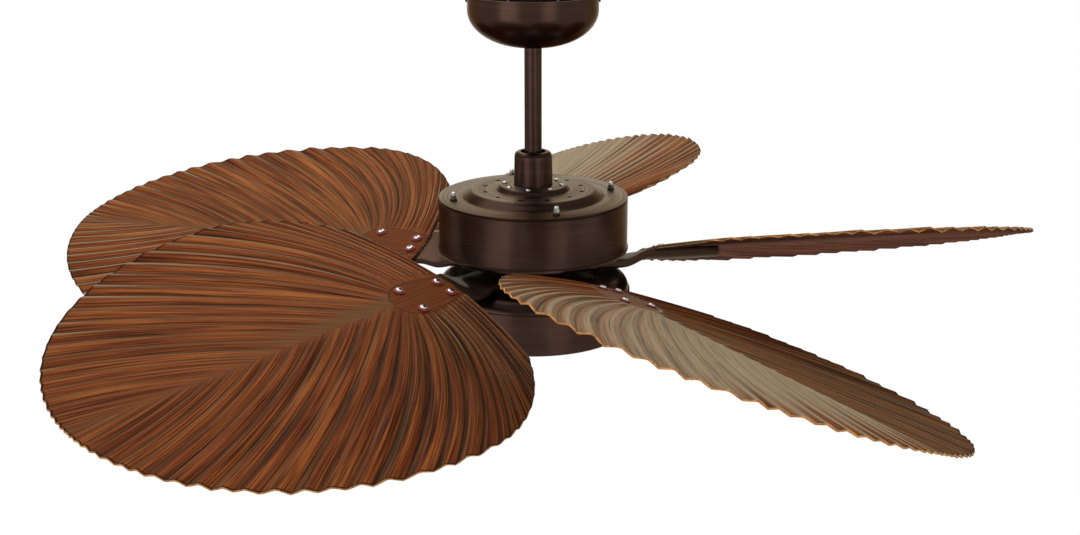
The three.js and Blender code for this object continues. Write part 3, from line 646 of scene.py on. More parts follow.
class Bench:
    """The few modelling moves that the fan's pieces share."""

    @staticmethod
    def clear() -> None:
        """Leaves edit mode and deselects everything."""
        if bpy.context.mode != "OBJECT":
            bpy.ops.object.mode_set(mode="OBJECT")
        bpy.ops.object.select_all(action="DESELECT")

    @staticmethod
    def pick(piece: bpy.types.Object) -> None:
        """Makes one object the only one selected, and active.

        Args:
            piece: The object.
        """
        Bench.clear()
        piece.select_set(True)
        bpy.context.view_layer.objects.active = piece

    @staticmethod
    def bake_place(piece: bpy.types.Object) -> None:
        """Moves an object's place, turn and size into its mesh."""
        Bench.pick(piece)
        bpy.ops.object.transform_apply(location=True, rotation=True, scale=True)

    @staticmethod
    def smooth(piece: bpy.types.Object, angle: float = 32.0) -> None:
        """Shades smooth, with edges sharper than an angle in degrees kept."""
        Bench.pick(piece)
        bpy.ops.object.shade_smooth_by_angle(angle=math.radians(angle))

    @staticmethod
    def weld(piece: bpy.types.Object, outwards: bool = True) -> None:
        """Merges doubled vertices.

        Args:
            piece: Piece whose mesh is welded.
            outwards: Whether the faces are turned outwards too.
        """
        Bench.pick(piece)
        bpy.ops.object.mode_set(mode="EDIT")
        bpy.ops.mesh.select_all(action="SELECT")
        bpy.ops.mesh.remove_doubles(threshold=WELD)
        if outwards:
            bpy.ops.mesh.normals_make_consistent(inside=False)
        bpy.ops.object.mode_set(mode="OBJECT")

    @staticmethod
    def turn(name: str, profile: Profile, sides: int = 96, angle: float = 32.0) -> bpy.types.Object:
        """Turns a piece about Z: a ring is extruded from point to point of a profile.

        Args:
            name: Name of the piece.
            profile: Points as (radius, height); it closes on itself or ends on the axis.
            sides: Facets round the piece.
            angle: Edges sharper than this, in degrees, stay sharp.

        Returns:
            The turned piece.
        """
        points = [(max(radius, WELD / 4), height) for radius, height in profile]
        radius, height = points[0]
        Bench.clear()
        bpy.ops.mesh.primitive_circle_add(vertices=sides, radius=radius, location=(0, 0, height))
        piece = bpy.context.object
        piece.name = name
        Bench.bake_place(piece)
        bpy.ops.object.mode_set(mode="EDIT")
        bpy.ops.mesh.select_all(action="SELECT")
        for wide, high in points[1:]:
            bpy.ops.mesh.extrude_region_move(TRANSFORM_OT_translate={"value": (0, 0, high - height)})
            grow = wide / radius
            bpy.ops.transform.resize(value=(grow, grow, 1), center_override=(0, 0, high))
            radius, height = wide, high
        bpy.ops.object.mode_set(mode="OBJECT")
        Bench.weld(piece)
        Bench.smooth(piece, angle)
        return piece

    @staticmethod
    def drill(piece: bpy.types.Object, cutters: Sequence[bpy.types.Object]) -> None:
        """Cuts pieces out of another one and deletes them.

        Args:
            piece: Piece to cut.
            cutters: Closed pieces to take away.
        """
        cutter = Bench.join(cutters)
        Bench.pick(piece)
        modifier = piece.modifiers.new("holes", "BOOLEAN")
        modifier.operation = "DIFFERENCE"
        modifier.solver = "EXACT"
        modifier.material_mode = "TRANSFER"
        modifier.object = cutter
        bpy.ops.object.modifier_apply(modifier=modifier.name)
        bpy.data.objects.remove(cutter)

    @staticmethod
    def join(pieces: Sequence[bpy.types.Object], name: str = "") -> bpy.types.Object:
        """Joins pieces into the first one.

        Args:
            pieces: Pieces to join, each with its own mesh.
            name: Name of the joined piece; without one it keeps the first piece's.

        Returns:
            The joined piece.
        """
        Bench.clear()
        for piece in pieces:
            piece.select_set(True)
        bpy.context.view_layer.objects.active = pieces[0]
        if len(pieces) > 1:
            bpy.ops.object.join()
        pieces[0].name = name or pieces[0].name
        return pieces[0]

    @staticmethod
    def block(middle: Vector, size: tuple[float, float, float], turn: float = 0.0) -> bpy.types.Object:
        """Adds a plain block to cut with.

        Args:
            middle: Its middle.
            size: Its three sides before it is turned.
            turn: Turn about Z.

        Returns:
            The block.
        """
        Bench.clear()
        bpy.ops.mesh.primitive_cube_add(size=1)
        block = bpy.context.object
        block.location, block.rotation_euler, block.scale = middle, (0, 0, turn), size
        Bench.bake_place(block)
        return block

    @staticmethod
    def copy(piece: bpy.types.Object, name: str, matrix: Matrix) -> bpy.types.Object:
        """Copies a piece with a mesh of its own, placed by a matrix that goes into the mesh.

        Args:
            piece: Piece to copy.
            name: Name of the copy.
            matrix: Where the copy goes.

        Returns:
            The copy.
        """
        Bench.pick(piece)
        bpy.ops.object.duplicate(linked=False)
        copied = bpy.context.object
        copied.name = name
        copied.data.transform(matrix)
        return copied

    @staticmethod
    def rod(name: str, radius: float, low: Vector, high: Vector, sides: int = 24) -> bpy.types.Object:
        """A plain round bar between two points, with its ends bevelled.

        Args:
            name: Name of the piece.
            radius: Its radius.
            low: Middle of one end.
            high: Middle of the other.
            sides: Facets round it.

        Returns:
            The bar.
        """
        reach = high - low
        Bench.clear()
        bpy.ops.mesh.primitive_cylinder_add(vertices=sides, radius=radius, depth=reach.length)
        piece = bpy.context.object
        piece.name = name
        piece.rotation_mode = "QUATERNION"
        piece.rotation_quaternion = Vector((0, 0, 1)).rotation_difference(reach)
        piece.location = (low + high) / 2
        Bench.bake_place(piece)
        modifier = piece.modifiers.new("edges", "BEVEL")
        modifier.width = radius * 0.12
        modifier.segments = 2
        bpy.ops.object.modifier_apply(modifier=modifier.name)
        Bench.smooth(piece)
        return piece

    @staticmethod
    def dress(piece: bpy.types.Object, *materials: bpy.types.Material) -> None:
        """Gives a piece its materials.

        Args:
            piece: The piece.
            materials: Its materials, in the order of its material numbers.
        """
        piece.data.materials.clear()
        for material in materials:
            piece.data.materials.append(material)

    @staticmethod
    def hang(piece: bpy.types.Object, body: str, slot: str, *nodes: str) -> bpy.types.Object:
        """Ties a finished piece to its body and hides the CAD nodes that it stands for.

        Args:
            piece: The finished piece.
            body: CAD body that carries it.
            slot: Name of a material slot; not used.
            nodes: CAD nodes that it replaces.

        Returns:
            The piece.
        """
        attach(piece, body)
        if nodes:
            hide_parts(*nodes)
        log.info("%s: %d faces, on %s", piece.name, len(piece.data.polygons), body)
        return piece

    @staticmethod
    def fit(piece: bpy.types.Object, material: bpy.types.Material, body: str, slot: str,
            *nodes: str) -> None:
        """Dresses a finished piece in one material and hangs it."""
        Bench.dress(piece, material)
        Bench.hang(piece, body, slot, *nodes)


def arc(centre_r: float, centre_z: float, radius_r: float, radius_z: float,
        start: float, end: float, steps: int) -> Profile:
    """Points of an elliptical arc for a profile.

    Args:
        centre_r: Radius of its centre.
        centre_z: Height of its centre.
        radius_r: Half-axis outwards.
        radius_z: Half-axis upwards.
        start: First angle in degrees, 0 outwards and 90 upwards.
        end: Last angle.
        steps: Number of stretches.

    Returns:
        The points.
    """
    turns = [math.radians(start + (end - start) * i / steps) for i in range(steps + 1)]
    return [(centre_r + radius_r * math.cos(t), centre_z + radius_z * math.sin(t)) for t in turns]


def round_corner(profile: Profile, radius: float, steps: int = 3) -> Profile:
    """Rounds every inner corner of an open profile.

    Args:
        profile: The points.
        radius: Distance from a corner at which its round begins.
        steps: Stretches in each round.

    Returns:
        The rounded points.
    """
    points = [Vector(p) for p in profile]
    rounded: Profile = [profile[0]]
    for before, corner, after in zip(points, points[1:], points[2:]):
        back, ahead = before - corner, after - corner
        cut = min(radius, back.length * 0.45, ahead.length * 0.45)
        first, last = corner + back.normalized() * cut, corner + ahead.normalized() * cut
        for i in range(steps + 1):
            t = i / steps
            spot = first * (1 - t) ** 2 + corner * (2 * t * (1 - t)) + last * t * t
            rounded.append((spot.x, spot.y))
    rounded.append(profile[-1])
    return rounded


def shell(skin: Profile, wall: float) -> Profile:
    """Closes a skin line into the section of a sheet whose wall lies on the line's right.

    Args:
        skin: Points of the outer face.
        wall: Thickness.

    Returns:
        The closed section.
    """
    points = [Vector(p) for p in skin]
    sides = [(b - a).normalized() for a, b in zip(points, points[1:])]
    normals = [Vector((side.y, -side.x)) for side in sides]
    back: Profile = []
    for i, point in enumerate(points):
        before, after = normals[max(i - 1, 0)], normals[min(i, len(normals) - 1)]
        spot = point + (before + after) * (wall / (1 + before.dot(after)))
        back.append((spot.x, spot.y))
    return [*skin, *reversed(back), skin[0]]


def smoothstep(low: float, high: float, x: np.ndarray) -> np.ndarray:
    """Rises smoothly from 0 at low to 1 at high."""
    t = np.clip((x - low) / (high - low), 0, 1)
    return t * t * (3 - 2 * t)


def place_grid(name: str, columns: int, rows: int,
               shape: Callable[[np.ndarray, np.ndarray], np.ndarray]) -> bpy.types.Object:
    """Adds a flat grid and bends it into a surface.

    Args:
        name: Name of the piece.
        columns: Vertices along the grid.
        rows: Vertices across it.
        shape: Takes the column and row number of each vertex and gives its place.

    Returns:
        The bent grid, with a vertex's column and row kept as "column" and "row".
    """
    Bench.clear()
    bpy.ops.mesh.primitive_grid_add(x_subdivisions=columns - 1, y_subdivisions=rows - 1, size=1)
    piece = bpy.context.object
    piece.name = name
    mesh = piece.data
    flat = np.zeros(len(mesh.vertices) * 3)
    mesh.vertices.foreach_get("co", flat)
    flat = flat.reshape(-1, 3) + 0.5
    column = np.rint(flat[:, 0] * (columns - 1)).astype(int)
    row = np.rint(flat[:, 1] * (rows - 1)).astype(int)
    mesh.vertices.foreach_set("co", shape(column, row).ravel())
    for key, values in (("column", column), ("row", row)):
        mesh.attributes.new(key, "INT", "POINT").data.foreach_set("value", values.astype(np.int32))
    mesh.update()
    return piece


# ------------------------------------------------------------------ blades


@dataclass(frozen=True)
class Leaf:
    """The pleated palm leaf: its outline, its flat screw pad and its pleats.

    On the leaf, u runs from the shaft along the midrib and v across it.
    """

    # names of what the mesh carries for LeafFinish
    PLEAT_MAP = "pleats"
    RELIEF = "relief"
    TO_RIM = "to_rim"
    IN_PAD = "in_pad"
    BY_RIB = "by_rib"
    # the pleat map counts pleats from 0 on the leading half, and from these on the rest
    TRAILING = 400.0
    PAD = 800.0
    PAD_SCALE = 160.0  # pleats to a metre across the pad

    hub_drop: float = 0.3249
    pitch: float = math.radians(19.6)
    droop: float = math.radians(1.8)
    fold: float = math.radians(1.2)
    # outline: a root arc to the widest place, then a squared-off arc to the tip
    widest: float = 0.331
    half_width: float = 0.234
    tip: float = 0.686
    root_arc: float = 0.197
    squareness: float = 1.9
    corner: tuple[float, float] = (0.174, 0.143)
    thick: float = 0.003
    veneer: float = 0.002
    # flat pad
    pad_start: float = 0.152
    pad_end: float = 0.248
    pad_half: float = 0.030
    pad_widest: float = 0.215
    pad_root: float = 0.019
    screw_rows: tuple[tuple[float, float], ...] = ((0.167, 0.0117), (0.2225, 0.020))
    # pleat lines: where they start, how they lean and how they crowd towards the tip
    midrib_end: float = 0.655
    on_midrib: float = 0.5
    on_pad_side: float = 0.3
    lean_at_side: float = 86.0  # degrees from the midrib
    lean_at_nose: float = 38.0  # degrees
    bow: float = 0.45
    crowding: float = 1.41
    ring_crowding: float = 1.2
    # pleats: depth as a share of their width at the rim
    pleats: int = 30
    ridge_place: float = 0.54
    root_depth: float = 0.12
    tip_depth: float = 0.075
    trailing_root: float = 0.75
    trailing_flat: float = 0.62
    tooth: float = 0.0006
    # mesh
    steps: int = 7
    rings: int = 28
    pad_rows: int = 7
    grain_shift: float = 29.0

    def matrix(self, number: int) -> Matrix:
        """Gives the place of a blade's own plane.

        Args:
            number: Blade, counted from 1.

        Returns:
            Matrix from (along, across, up) on the leaf to the fan's frame.
        """
        plane = Matrix(blade_axes(self.droop, self.pitch)).transposed().to_4x4()
        plane.translation = Vector((0, 0, -self.hub_drop))
        return Matrix.Rotation(blade_turn(number), 4, "Z") @ plane

    def pad_width(self, u: np.ndarray) -> np.ndarray:
        """Half-width of the flat pad.

        Args:
            u: Distances from the shaft.

        Returns:
            The half-width at each.
        """
        past = (u - self.pad_widest) / (self.pad_end - self.pad_widest)
        nose = self.pad_half * np.sqrt(np.clip(1 - past * past, 0, 1))
        share = np.clip((u - self.pad_start) / (self.pad_widest - self.pad_start), 0, 1)
        waist = self.pad_root + (self.pad_half - self.pad_root) * np.sin(share * math.pi / 2)
        return np.where(past >= 0, nose, waist)

    def _starts(self, share: np.ndarray) -> np.ndarray:
        """Where pleat lines start: on the pad's edge, then along the midrib.

        Args:
            share: Place of each line across the half, 0 at the root and 1 at the tip.

        Returns:
            A point (along, out) for each.
        """
        side, on_pad = self.on_pad_side, 1 - self.on_midrib
        u = np.interp(share, [0, side], [self.pad_start, self.pad_widest])
        turn = np.interp(share, [side, on_pad], [0, math.pi / 2])
        nose_u = self.pad_widest + (self.pad_end - self.pad_widest) * np.sin(turn)
        rib_u = np.interp(share, [on_pad, 1], [self.pad_end, self.midrib_end])
        first, second = share <= side, share < on_pad
        along = np.where(first, u, np.where(second, nose_u, rib_u))
        out = np.where(first, self.pad_width(u), np.where(second, self.pad_half * np.cos(turn), 0.0))
        return np.stack([along, out], -1)

    def _ends(self, share: np.ndarray) -> np.ndarray:
        """Where pleat lines end: on the outline, from the root corner round to the tip.

        Args:
            share: Place of each line across the half.

        Returns:
            A point (along, out) for each.
        """
        corner_u, corner_v = self.corner
        first = math.atan2(corner_v / self.half_width, (corner_u - self.widest) / self.root_arc)
        turn = first * (1 - share) ** self.crowding
        outer = turn < math.pi / 2
        power = np.where(outer, 2 / self.squareness, 1.0)
        reach = np.where(outer, self.tip - self.widest, self.root_arc)
        c, s = np.cos(turn), np.sin(turn)
        return np.stack([self.widest + reach * np.sign(c) * np.abs(c) ** power,
                         self.half_width * np.abs(s) ** power], -1)

    def _leans(self, share: np.ndarray) -> np.ndarray:
        """Direction in which pleat lines leave their start.

        Args:
            share: Place of each line across the half.

        Returns:
            The angle of each from the midrib.
        """
        on_pad = 1 - self.on_midrib
        near = np.interp(share, [self.on_pad_side, on_pad], [self.lean_at_side, self.lean_at_nose])
        past = np.clip((share - on_pad) / self.on_midrib, 0, 1)
        return np.radians(np.where(share < on_pad, near, self.lean_at_nose * (1 - past ** 2)))

    def _uneven(self, share: np.ndarray) -> np.ndarray:
        """Makes some pleats a little wider than others, by two slow waves."""
        sway = 0.0024 * np.sin(46 * share) + 0.0015 * np.sin(75 * share + 2)
        return np.clip(share + sway * np.clip(4 * share * (1 - share), 0, 1), 0, 1)

    def _profile(self, phase: np.ndarray) -> np.ndarray:
        """Height across the pleats.

        Args:
            phase: Pleat number of each line.

        Returns:
            From -1 in the valleys to 1 on the slightly rounded ridges.
        """
        turn = phase - np.floor(phase)
        ridge = self.ridge_place
        slope = np.where(turn < ridge, turn / ridge, (1 - turn) / (1 - ridge))
        return 0.8 * (2 * slope - 1) + 0.2 * np.sin((slope - 0.5) * math.pi)

    def _rib_shade(self, u: np.ndarray, v: np.ndarray, side: int) -> np.ndarray:
        """Strength of the dusky seam on the midrib and, on the trailing half, the band beside it.

        Args:
            u: Distance from the shaft of each point.
            v: Distance from the midrib of each point.
            side: 1 for the leading half, -1 for the trailing one.

        Returns:
            The strength at each point.
        """
        past_pad = smoothstep(self.pad_end - 0.004, self.pad_end + 0.01, u)
        seam = 0.5 * (1 - smoothstep(0.0, 0.009, v)) * past_pad
        if side > 0:
            return seam
        band = smoothstep(-0.004, 0.006, v) * (1 - smoothstep(0.01, 0.034, v))
        ends = (1 - smoothstep(0.3, 0.56, u)) * smoothstep(self.pad_end - 0.02, self.pad_end, u)
        return np.maximum(seam, 0.8 * band * ends)

    def _depth(self, phase: np.ndarray, share: np.ndarray, s: np.ndarray, side: int) -> np.ndarray:
        """Depth of the pleats, as a share of their width at the rim.

        Args:
            phase: Place across the half, 0 at the root and 1 at the tip.
            share: The same, as the pleat lines are spread.
            s: Place along a line, 0 at its start and 1 at the rim.
            side: 1 for the leading half, -1 for the trailing one.

        Returns:
            Depths by line and ring.
        """
        tipward = smoothstep(0.1, 0.5, share)[:, None]
        flat = 0.0 if side > 0 else self.trailing_flat
        by_root = self.root_depth * (1.0 if side > 0 else self.trailing_root) * (1 - 0.5 * s * s)
        by_tip = self.tip_depth * (1 - flat + flat * s ** 3)
        sway = 1 + 0.22 * np.sin(58 * phase + 2 * side)[:, None]
        return (by_root * (1 - tipward) + by_tip * tipward) * sway

    def half(self, side: int) -> dict[str, np.ndarray]:
        """Works out one half of the leaf's middle surface.

        Args:
            side: 1 for the half on the leading side, -1 for the trailing one.

        Returns:
            Arrays of line by ring: place, relief, length along the line, gaps to the rim and the
            pad, rib shade and place across the half.
        """
        phase = np.linspace(0, 1, self.pleats * self.steps + 1)
        share = self._uneven(phase)
        s = np.linspace(0, 1, self.rings + 1) ** self.ring_crowding
        # each pleat line is a curve through three points, over its rings
        start, end, lean = self._starts(share), self._ends(share), self._leans(share)
        hold = self.bow * np.linalg.norm(end - start, axis=1)
        bend = start + hold[:, None] * np.stack([np.cos(lean), np.sin(lean)], -1)
        t = s[None, :, None]
        line = start[:, None] * (1 - t) ** 2 + bend[:, None] * 2 * t * (1 - t) + end[:, None] * t * t
        pace = np.gradient(line, s, axis=1)
        pace /= np.linalg.norm(pace, axis=2, keepdims=True)
        spread = np.gradient(line, phase, axis=0)
        apart = np.abs(spread[..., 0] * pace[..., 1] - spread[..., 1] * pace[..., 0])
        at_edge = np.linalg.norm(np.gradient(end, phase, axis=0), axis=1) / self.pleats
        steps = np.linalg.norm(np.diff(line, axis=1), axis=2)
        along = np.concatenate([np.zeros((len(share), 1)), np.cumsum(steps, axis=1)], axis=1)
        # the pleats rise from nothing at the pad and the midrib
        on_rib = (share >= 1 - self.on_midrib)[:, None]
        late, early = smoothstep(0.004, 0.03, along), smoothstep(0, 0.012, along)
        fade = np.where(on_rib & (side < 0), late, early)
        wave = self._profile(phase * self.pleats)[:, None] * fade
        narrowing = np.minimum(1, apart / apart[:, -1:])
        height = self._depth(phase, share, s, side) * at_edge[:, None] * narrowing * wave
        line = line - pace * (self.tooth * wave * s[None, :] ** 6)[..., None]
        u, v = line[..., 0], line[..., 1]
        drop = math.tan(self.fold) * np.maximum(0, v - self.pad_width(u) * (u < self.pad_end))
        root_gap = u - np.interp(v, line[0, :, 1], line[0, :, 0], right=-1.0)
        near_root = 1 - smoothstep(0.1, 0.5, share)
        return {"place": np.stack([u, side * v, height - drop], -1),
                "along": along,
                "phase": np.broadcast_to(phase[:, None], u.shape),
                self.RELIEF: wave * (0.7 + 0.3 * near_root)[:, None],
                self.TO_RIM: np.minimum(along[:, -1:] - along, root_gap),
                self.IN_PAD: -(along + np.maximum(0, start[:, :1] - self.pad_end)),
                self.BY_RIB: self._rib_shade(u, v, side)}

    def whole(self) -> dict[str, np.ndarray]:
        """Puts both halves and the pad between them together.

        Returns:
            The arrays of half(), by line and row across the whole leaf.
        """
        low, high = self.half(-1), self.half(1)
        share = np.linspace(-1, 1, self.pad_rows + 2)[1:-1]
        edge = high["place"][:, 0]
        u = np.broadcast_to(edge[:, :1], (len(edge), self.pad_rows))
        v = edge[:, 1:2] * share
        level = np.zeros_like(v)
        flat = {"place": np.stack([u, v, level], -1),
                "along": u,
                "phase": v,
                self.RELIEF: level,
                self.TO_RIM: np.where(np.abs(v) > 0, u - self.pad_start, 0.05),
                self.IN_PAD: self.pad_width(u) - np.abs(v),
                self.BY_RIB: level}
        return {key: np.concatenate([low[key][:, ::-1], flat[key], high[key]], axis=1) for key in low}

    def blank(self, name: str, finishes: Finishes) -> bpy.types.Object:
        """Makes one leaf in its own plane.

        Args:
            name: Name of the piece.
            finishes: The fan's materials; the cut edge gets its own.

        Returns:
            The leaf, as thick as its veneer, with its pleat map and attributes.
        """
        table = self.whole()
        lines, rows = table[self.RELIEF].shape
        piece = place_grid(name, lines, rows, lambda column, row: table["place"][column, row])
        mesh = piece.data
        column, row = np.zeros((2, len(mesh.vertices)), np.int32)
        mesh.attributes["column"].data.foreach_get("value", column)
        mesh.attributes["row"].data.foreach_get("value", row)
        for key in (self.RELIEF, self.TO_RIM, self.IN_PAD, self.BY_RIB):
            carried = mesh.attributes.new(key, "FLOAT", "POINT")
            carried.data.foreach_set("value", table[key][column, row].astype(np.float32))
        self._map_pleats(mesh, table, column, row)
        Bench.weld(piece, outwards=False)
        Bench.dress(piece, finishes.leaf, finishes.cut_edge)
        Bench.pick(piece)
        wall = piece.modifiers.new("thickness", "SOLIDIFY")
        wall.thickness = self.veneer
        wall.offset = 0
        wall.use_even_offset = True
        wall.material_offset_rim = 1
        bpy.ops.object.modifier_apply(modifier=wall.name)
        Bench.smooth(piece, 40)
        return piece

    def _map_pleats(self, mesh: bpy.types.Mesh, table: dict[str, np.ndarray],
                    column: np.ndarray, row: np.ndarray) -> None:
        """Lays the pleat map: pleat number across, metres along the line.

        Args:
            mesh: The leaf's mesh, still an unwelded grid.
            table: The table that shaped it.
            column: Column of each vertex.
            row: Row of each vertex.
        """
        while mesh.uv_layers:
            mesh.uv_layers.remove(mesh.uv_layers[0])
        layer = mesh.uv_layers.new(name=self.PLEAT_MAP)
        corner = np.zeros(len(mesh.loops), np.int32)
        mesh.loops.foreach_get("vertex_index", corner)
        lowest = row[corner].reshape(-1, 4).min(axis=1).repeat(4)
        trailing = lowest < self.rings
        on_pad = ~trailing & (lowest <= self.rings + self.pad_rows)
        spot = (column[corner], row[corner])
        place = table["place"][spot]
        pleat = table["phase"][spot] * self.pleats + self.TRAILING * trailing
        across = np.where(on_pad, self.PAD + self.PAD_SCALE * place[:, 1], pleat)
        along = np.where(on_pad, place[:, 0], table["along"][spot])
        layer.data.foreach_set("uv", np.stack([across, along], -1).astype(np.float32).ravel())


@dataclass(frozen=True)
class BladeIron:
    """Cast iron under each leaf: a level arm that dips, twists and widens into the screw plate."""

    leaf: Leaf
    root: float = 0.052
    root_round: float = 0.012
    root_narrowing: float = 0.008
    half_width: float = 0.028
    edge: float = 0.009
    middle: float = 0.012
    dip: float = 0.004
    level_to: float = 0.096
    plate_from: float = 0.148
    top_drop: float = 0.335
    round_edge: float = 0.0014
    nose_gap: float = 0.001
    nose_least: float = 0.002
    stations: int = 64
    belly_points: int = 13

    def _half_width(self, u: np.ndarray) -> np.ndarray:
        """Half-width of the casting.

        Args:
            u: Distance from the shaft of each station.

        Returns:
            The half-width at each.
        """
        leaf = self.leaf
        rounding = 1 - smoothstep(self.root, self.root + self.root_round, u)
        plate = (leaf.pad_half - self.half_width) * smoothstep(self.plate_from, leaf.pad_widest, u)
        arm = self.half_width - self.root_narrowing * rounding + plate
        return np.where(u > leaf.pad_widest, np.maximum(leaf.pad_width(u), self.nose_least), arm)

    def _ring(self, half: float) -> Profile:
        """Section of the casting: flat top, rounded edges, convex belly.

        Args:
            half: Its half-width.

        Returns:
            The section's points as (across, up).
        """
        fillet = min(self.round_edge, half * 0.4)
        top = [((half - fillet) * share, 0.0) for share in (-1, -0.5, 0, 0.5, 1)]
        corner = [(half - fillet * (1 - math.sin(t)), -fillet * (1 - math.cos(t)))
                  for t in (math.pi / 6, math.pi / 3, math.pi / 2)]
        knee = self.edge * 0.62
        belly = [(half * math.copysign(abs(math.cos(t)) ** 0.55, math.cos(t)),
                  -knee - (self.middle - knee) * math.sin(t) ** 0.8)
                 for t in np.linspace(0, math.pi, self.belly_points)]
        return [*top, *corner, *belly, *((-across, up) for across, up in reversed(corner))]

    def blank(self, name: str) -> bpy.types.Object:
        """Makes one casting in the frame of a blade that points along +X.

        Args:
            name: Name of the piece.

        Returns:
            The casting, closed at both ends.
        """
        leaf = self.leaf
        to_x = Matrix.Rotation(-blade_turn(1), 3, "Z") @ leaf.matrix(1).to_3x3()
        u = np.linspace(self.root, leaf.pad_end - self.nose_gap, self.stations)
        sections = [self._ring(half) for half in self._half_width(u)]
        place = np.zeros((self.stations, len(sections[0]) + 1, 3))
        for i, share in enumerate(smoothstep(self.level_to, self.plate_from, u)):
            _, across, up = blade_axes(leaf.droop * share, leaf.pitch * share)
            level = Vector((u[i], 0, -self.top_drop))
            seated = to_x @ Vector((u[i], 0, -leaf.thick / 2 - FIT)) - Vector((0, 0, leaf.hub_drop))
            dip = Vector((0, 0, self.dip * math.sin(math.pi * share)))
            ring = [level.lerp(seated, share) - dip + across * a + up * b for a, b in sections[i]]
            place[i] = [tuple(spot) for spot in ring + ring[:1]]
        piece = place_grid(name, *place.shape[:2], lambda column, row: place[column, row])
        Bench.weld(piece)
        Bench.pick(piece)
        bpy.ops.object.mode_set(mode="EDIT")
        bpy.ops.mesh.select_all(action="DESELECT")
        bpy.ops.mesh.select_mode(type="EDGE")
        bpy.ops.mesh.select_non_manifold()
        bpy.ops.mesh.fill_holes(sides=0)
        bpy.ops.mesh.select_mode(type="VERT")
        bpy.ops.object.mode_set(mode="OBJECT")
        Bench.weld(piece)
        Bench.smooth(piece, 35)
        return piece


@dataclass(frozen=True)
class BladeScrew:
    """Pan head screw with a cross recess, on its fibre washer."""

    shank: float = 0.0023
    length: float = 0.009
    head: float = 0.0045
    head_tall: float = 0.0026
    washer: float = 0.0071
    washer_thick: float = 0.0009
    washer_edge: float = 0.0003
    slot: float = 0.0015
    sides: int = 28

    def blank(self, finishes: Finishes) -> bpy.types.Object:
        """Makes the screw, its washer's lower face at z = 0.

        Args:
            finishes: The fan's materials.

        Returns:
            The screw, with painted shade inside its recess.
        """
        seat = self.washer_thick
        dome = arc(0, seat + self.head_tall * 0.35, self.head, self.head_tall * 0.65, 0, 90, 6)
        profile = [(0, -self.length), (self.shank, -self.length), (self.shank, seat),
                   (self.head * 0.94, seat), (self.head, seat + 0.0002), *dome]
        screw = Bench.turn("screw_blank", profile, self.sides)
        Bench.dress(screw, finishes.nickel, finishes.shadow)
        long, deep = self.head * 1.2, self.head_tall * 1.1
        # the cutters carry the painted shade material onto the recess walls
        for size in ((long, self.slot, deep), (self.slot, long, deep)):
            bar = Bench.block(Vector((0, 0, seat + self.head_tall)), size)
            Bench.dress(bar, finishes.shadow)
            Bench.drill(screw, [bar])
        Bench.smooth(screw, 30)
        return screw

    def washer_blank(self) -> bpy.types.Object:
        """Makes the washer, its lower face at z = 0.

        Returns:
            The washer.
        """
        bore, thick = self.shank + FIT, self.washer_thick
        profile = [(bore, 0), (self.washer, 0), (self.washer, thick * 0.6),
                   (self.washer - self.washer_edge, thick), (bore, thick), (bore, 0)]
        return Bench.turn("washer_blank", profile, self.sides)


@dataclass(frozen=True)
class BladeSet:
    """The five leaves with their irons, screws and washers."""

    leaf: Leaf
    iron: BladeIron
    screw: BladeScrew
    screw_turn: float = 0.7

    def build(self, finishes: Finishes) -> None:
        """Builds each kind of piece once and copies it round the shaft.

        Args:
            finishes: The fan's materials.
        """
        leaf_blank = self.leaf.blank("leaf_blank", finishes)
        iron_blank = self.iron.blank("iron_blank")
        screw_blank, washer_blank = self.screw.blank(finishes), self.screw.washer_blank()
        Bench.dress(iron_blank, finishes.casting)
        Bench.dress(washer_blank, finishes.red_fibre)
        seats = [Matrix.Translation((u, side * half, self.leaf.thick / 2 + FIT))
                 for u, half in self.leaf.screw_rows for side in (-1, 1)]
        for number in range(1, BLADES + 1):
            plane = self.leaf.matrix(number)
            leaf = Bench.copy(leaf_blank, f"leaf_{number}", plane)
            self._shift_grain(leaf, self.leaf.grain_shift * number)
            Bench.hang(leaf, "rotor", "leaf_wood", f"blade_{number}")
            turn = Matrix.Rotation(blade_turn(number), 4, "Z")
            iron = Bench.copy(iron_blank, f"iron_{number}", turn)
            Bench.hang(iron, "rotor", "bronze", f"blade_iron_{number}")
            for blank, name, slot in ((screw_blank, "leaf_screws", "steel"),
                                      (washer_blank, "leaf_washers", "bronze")):
                copies = []
                for i, seat in enumerate(seats):
                    turned = Matrix.Rotation(self.screw_turn * i + number, 4, "Z")
                    copies.append(Bench.copy(blank, name, plane @ seat @ turned))
                Bench.hang(Bench.join(copies, f"{name}_{number}"), "rotor", slot)
        for blank in (leaf_blank, iron_blank, screw_blank, washer_blank):
            bpy.data.objects.remove(blank)

    @staticmethod
    def _shift_grain(leaf: bpy.types.Object, shift: float) -> None:
        """Moves a leaf's pleat map along its pleats, so that no two leaves have the same grain.

        Args:
            leaf: The leaf.
            shift: How far, in metres of the map.
        """
        layer = leaf.data.uv_layers[Leaf.PLEAT_MAP]
        spots = np.zeros(len(layer.data) * 2, np.float32)
        layer.data.foreach_get("uv", spots)
        spots[1::2] += shift
        layer.data.foreach_set("uv", spots)


# ------------------------------------------------------------------ hanger


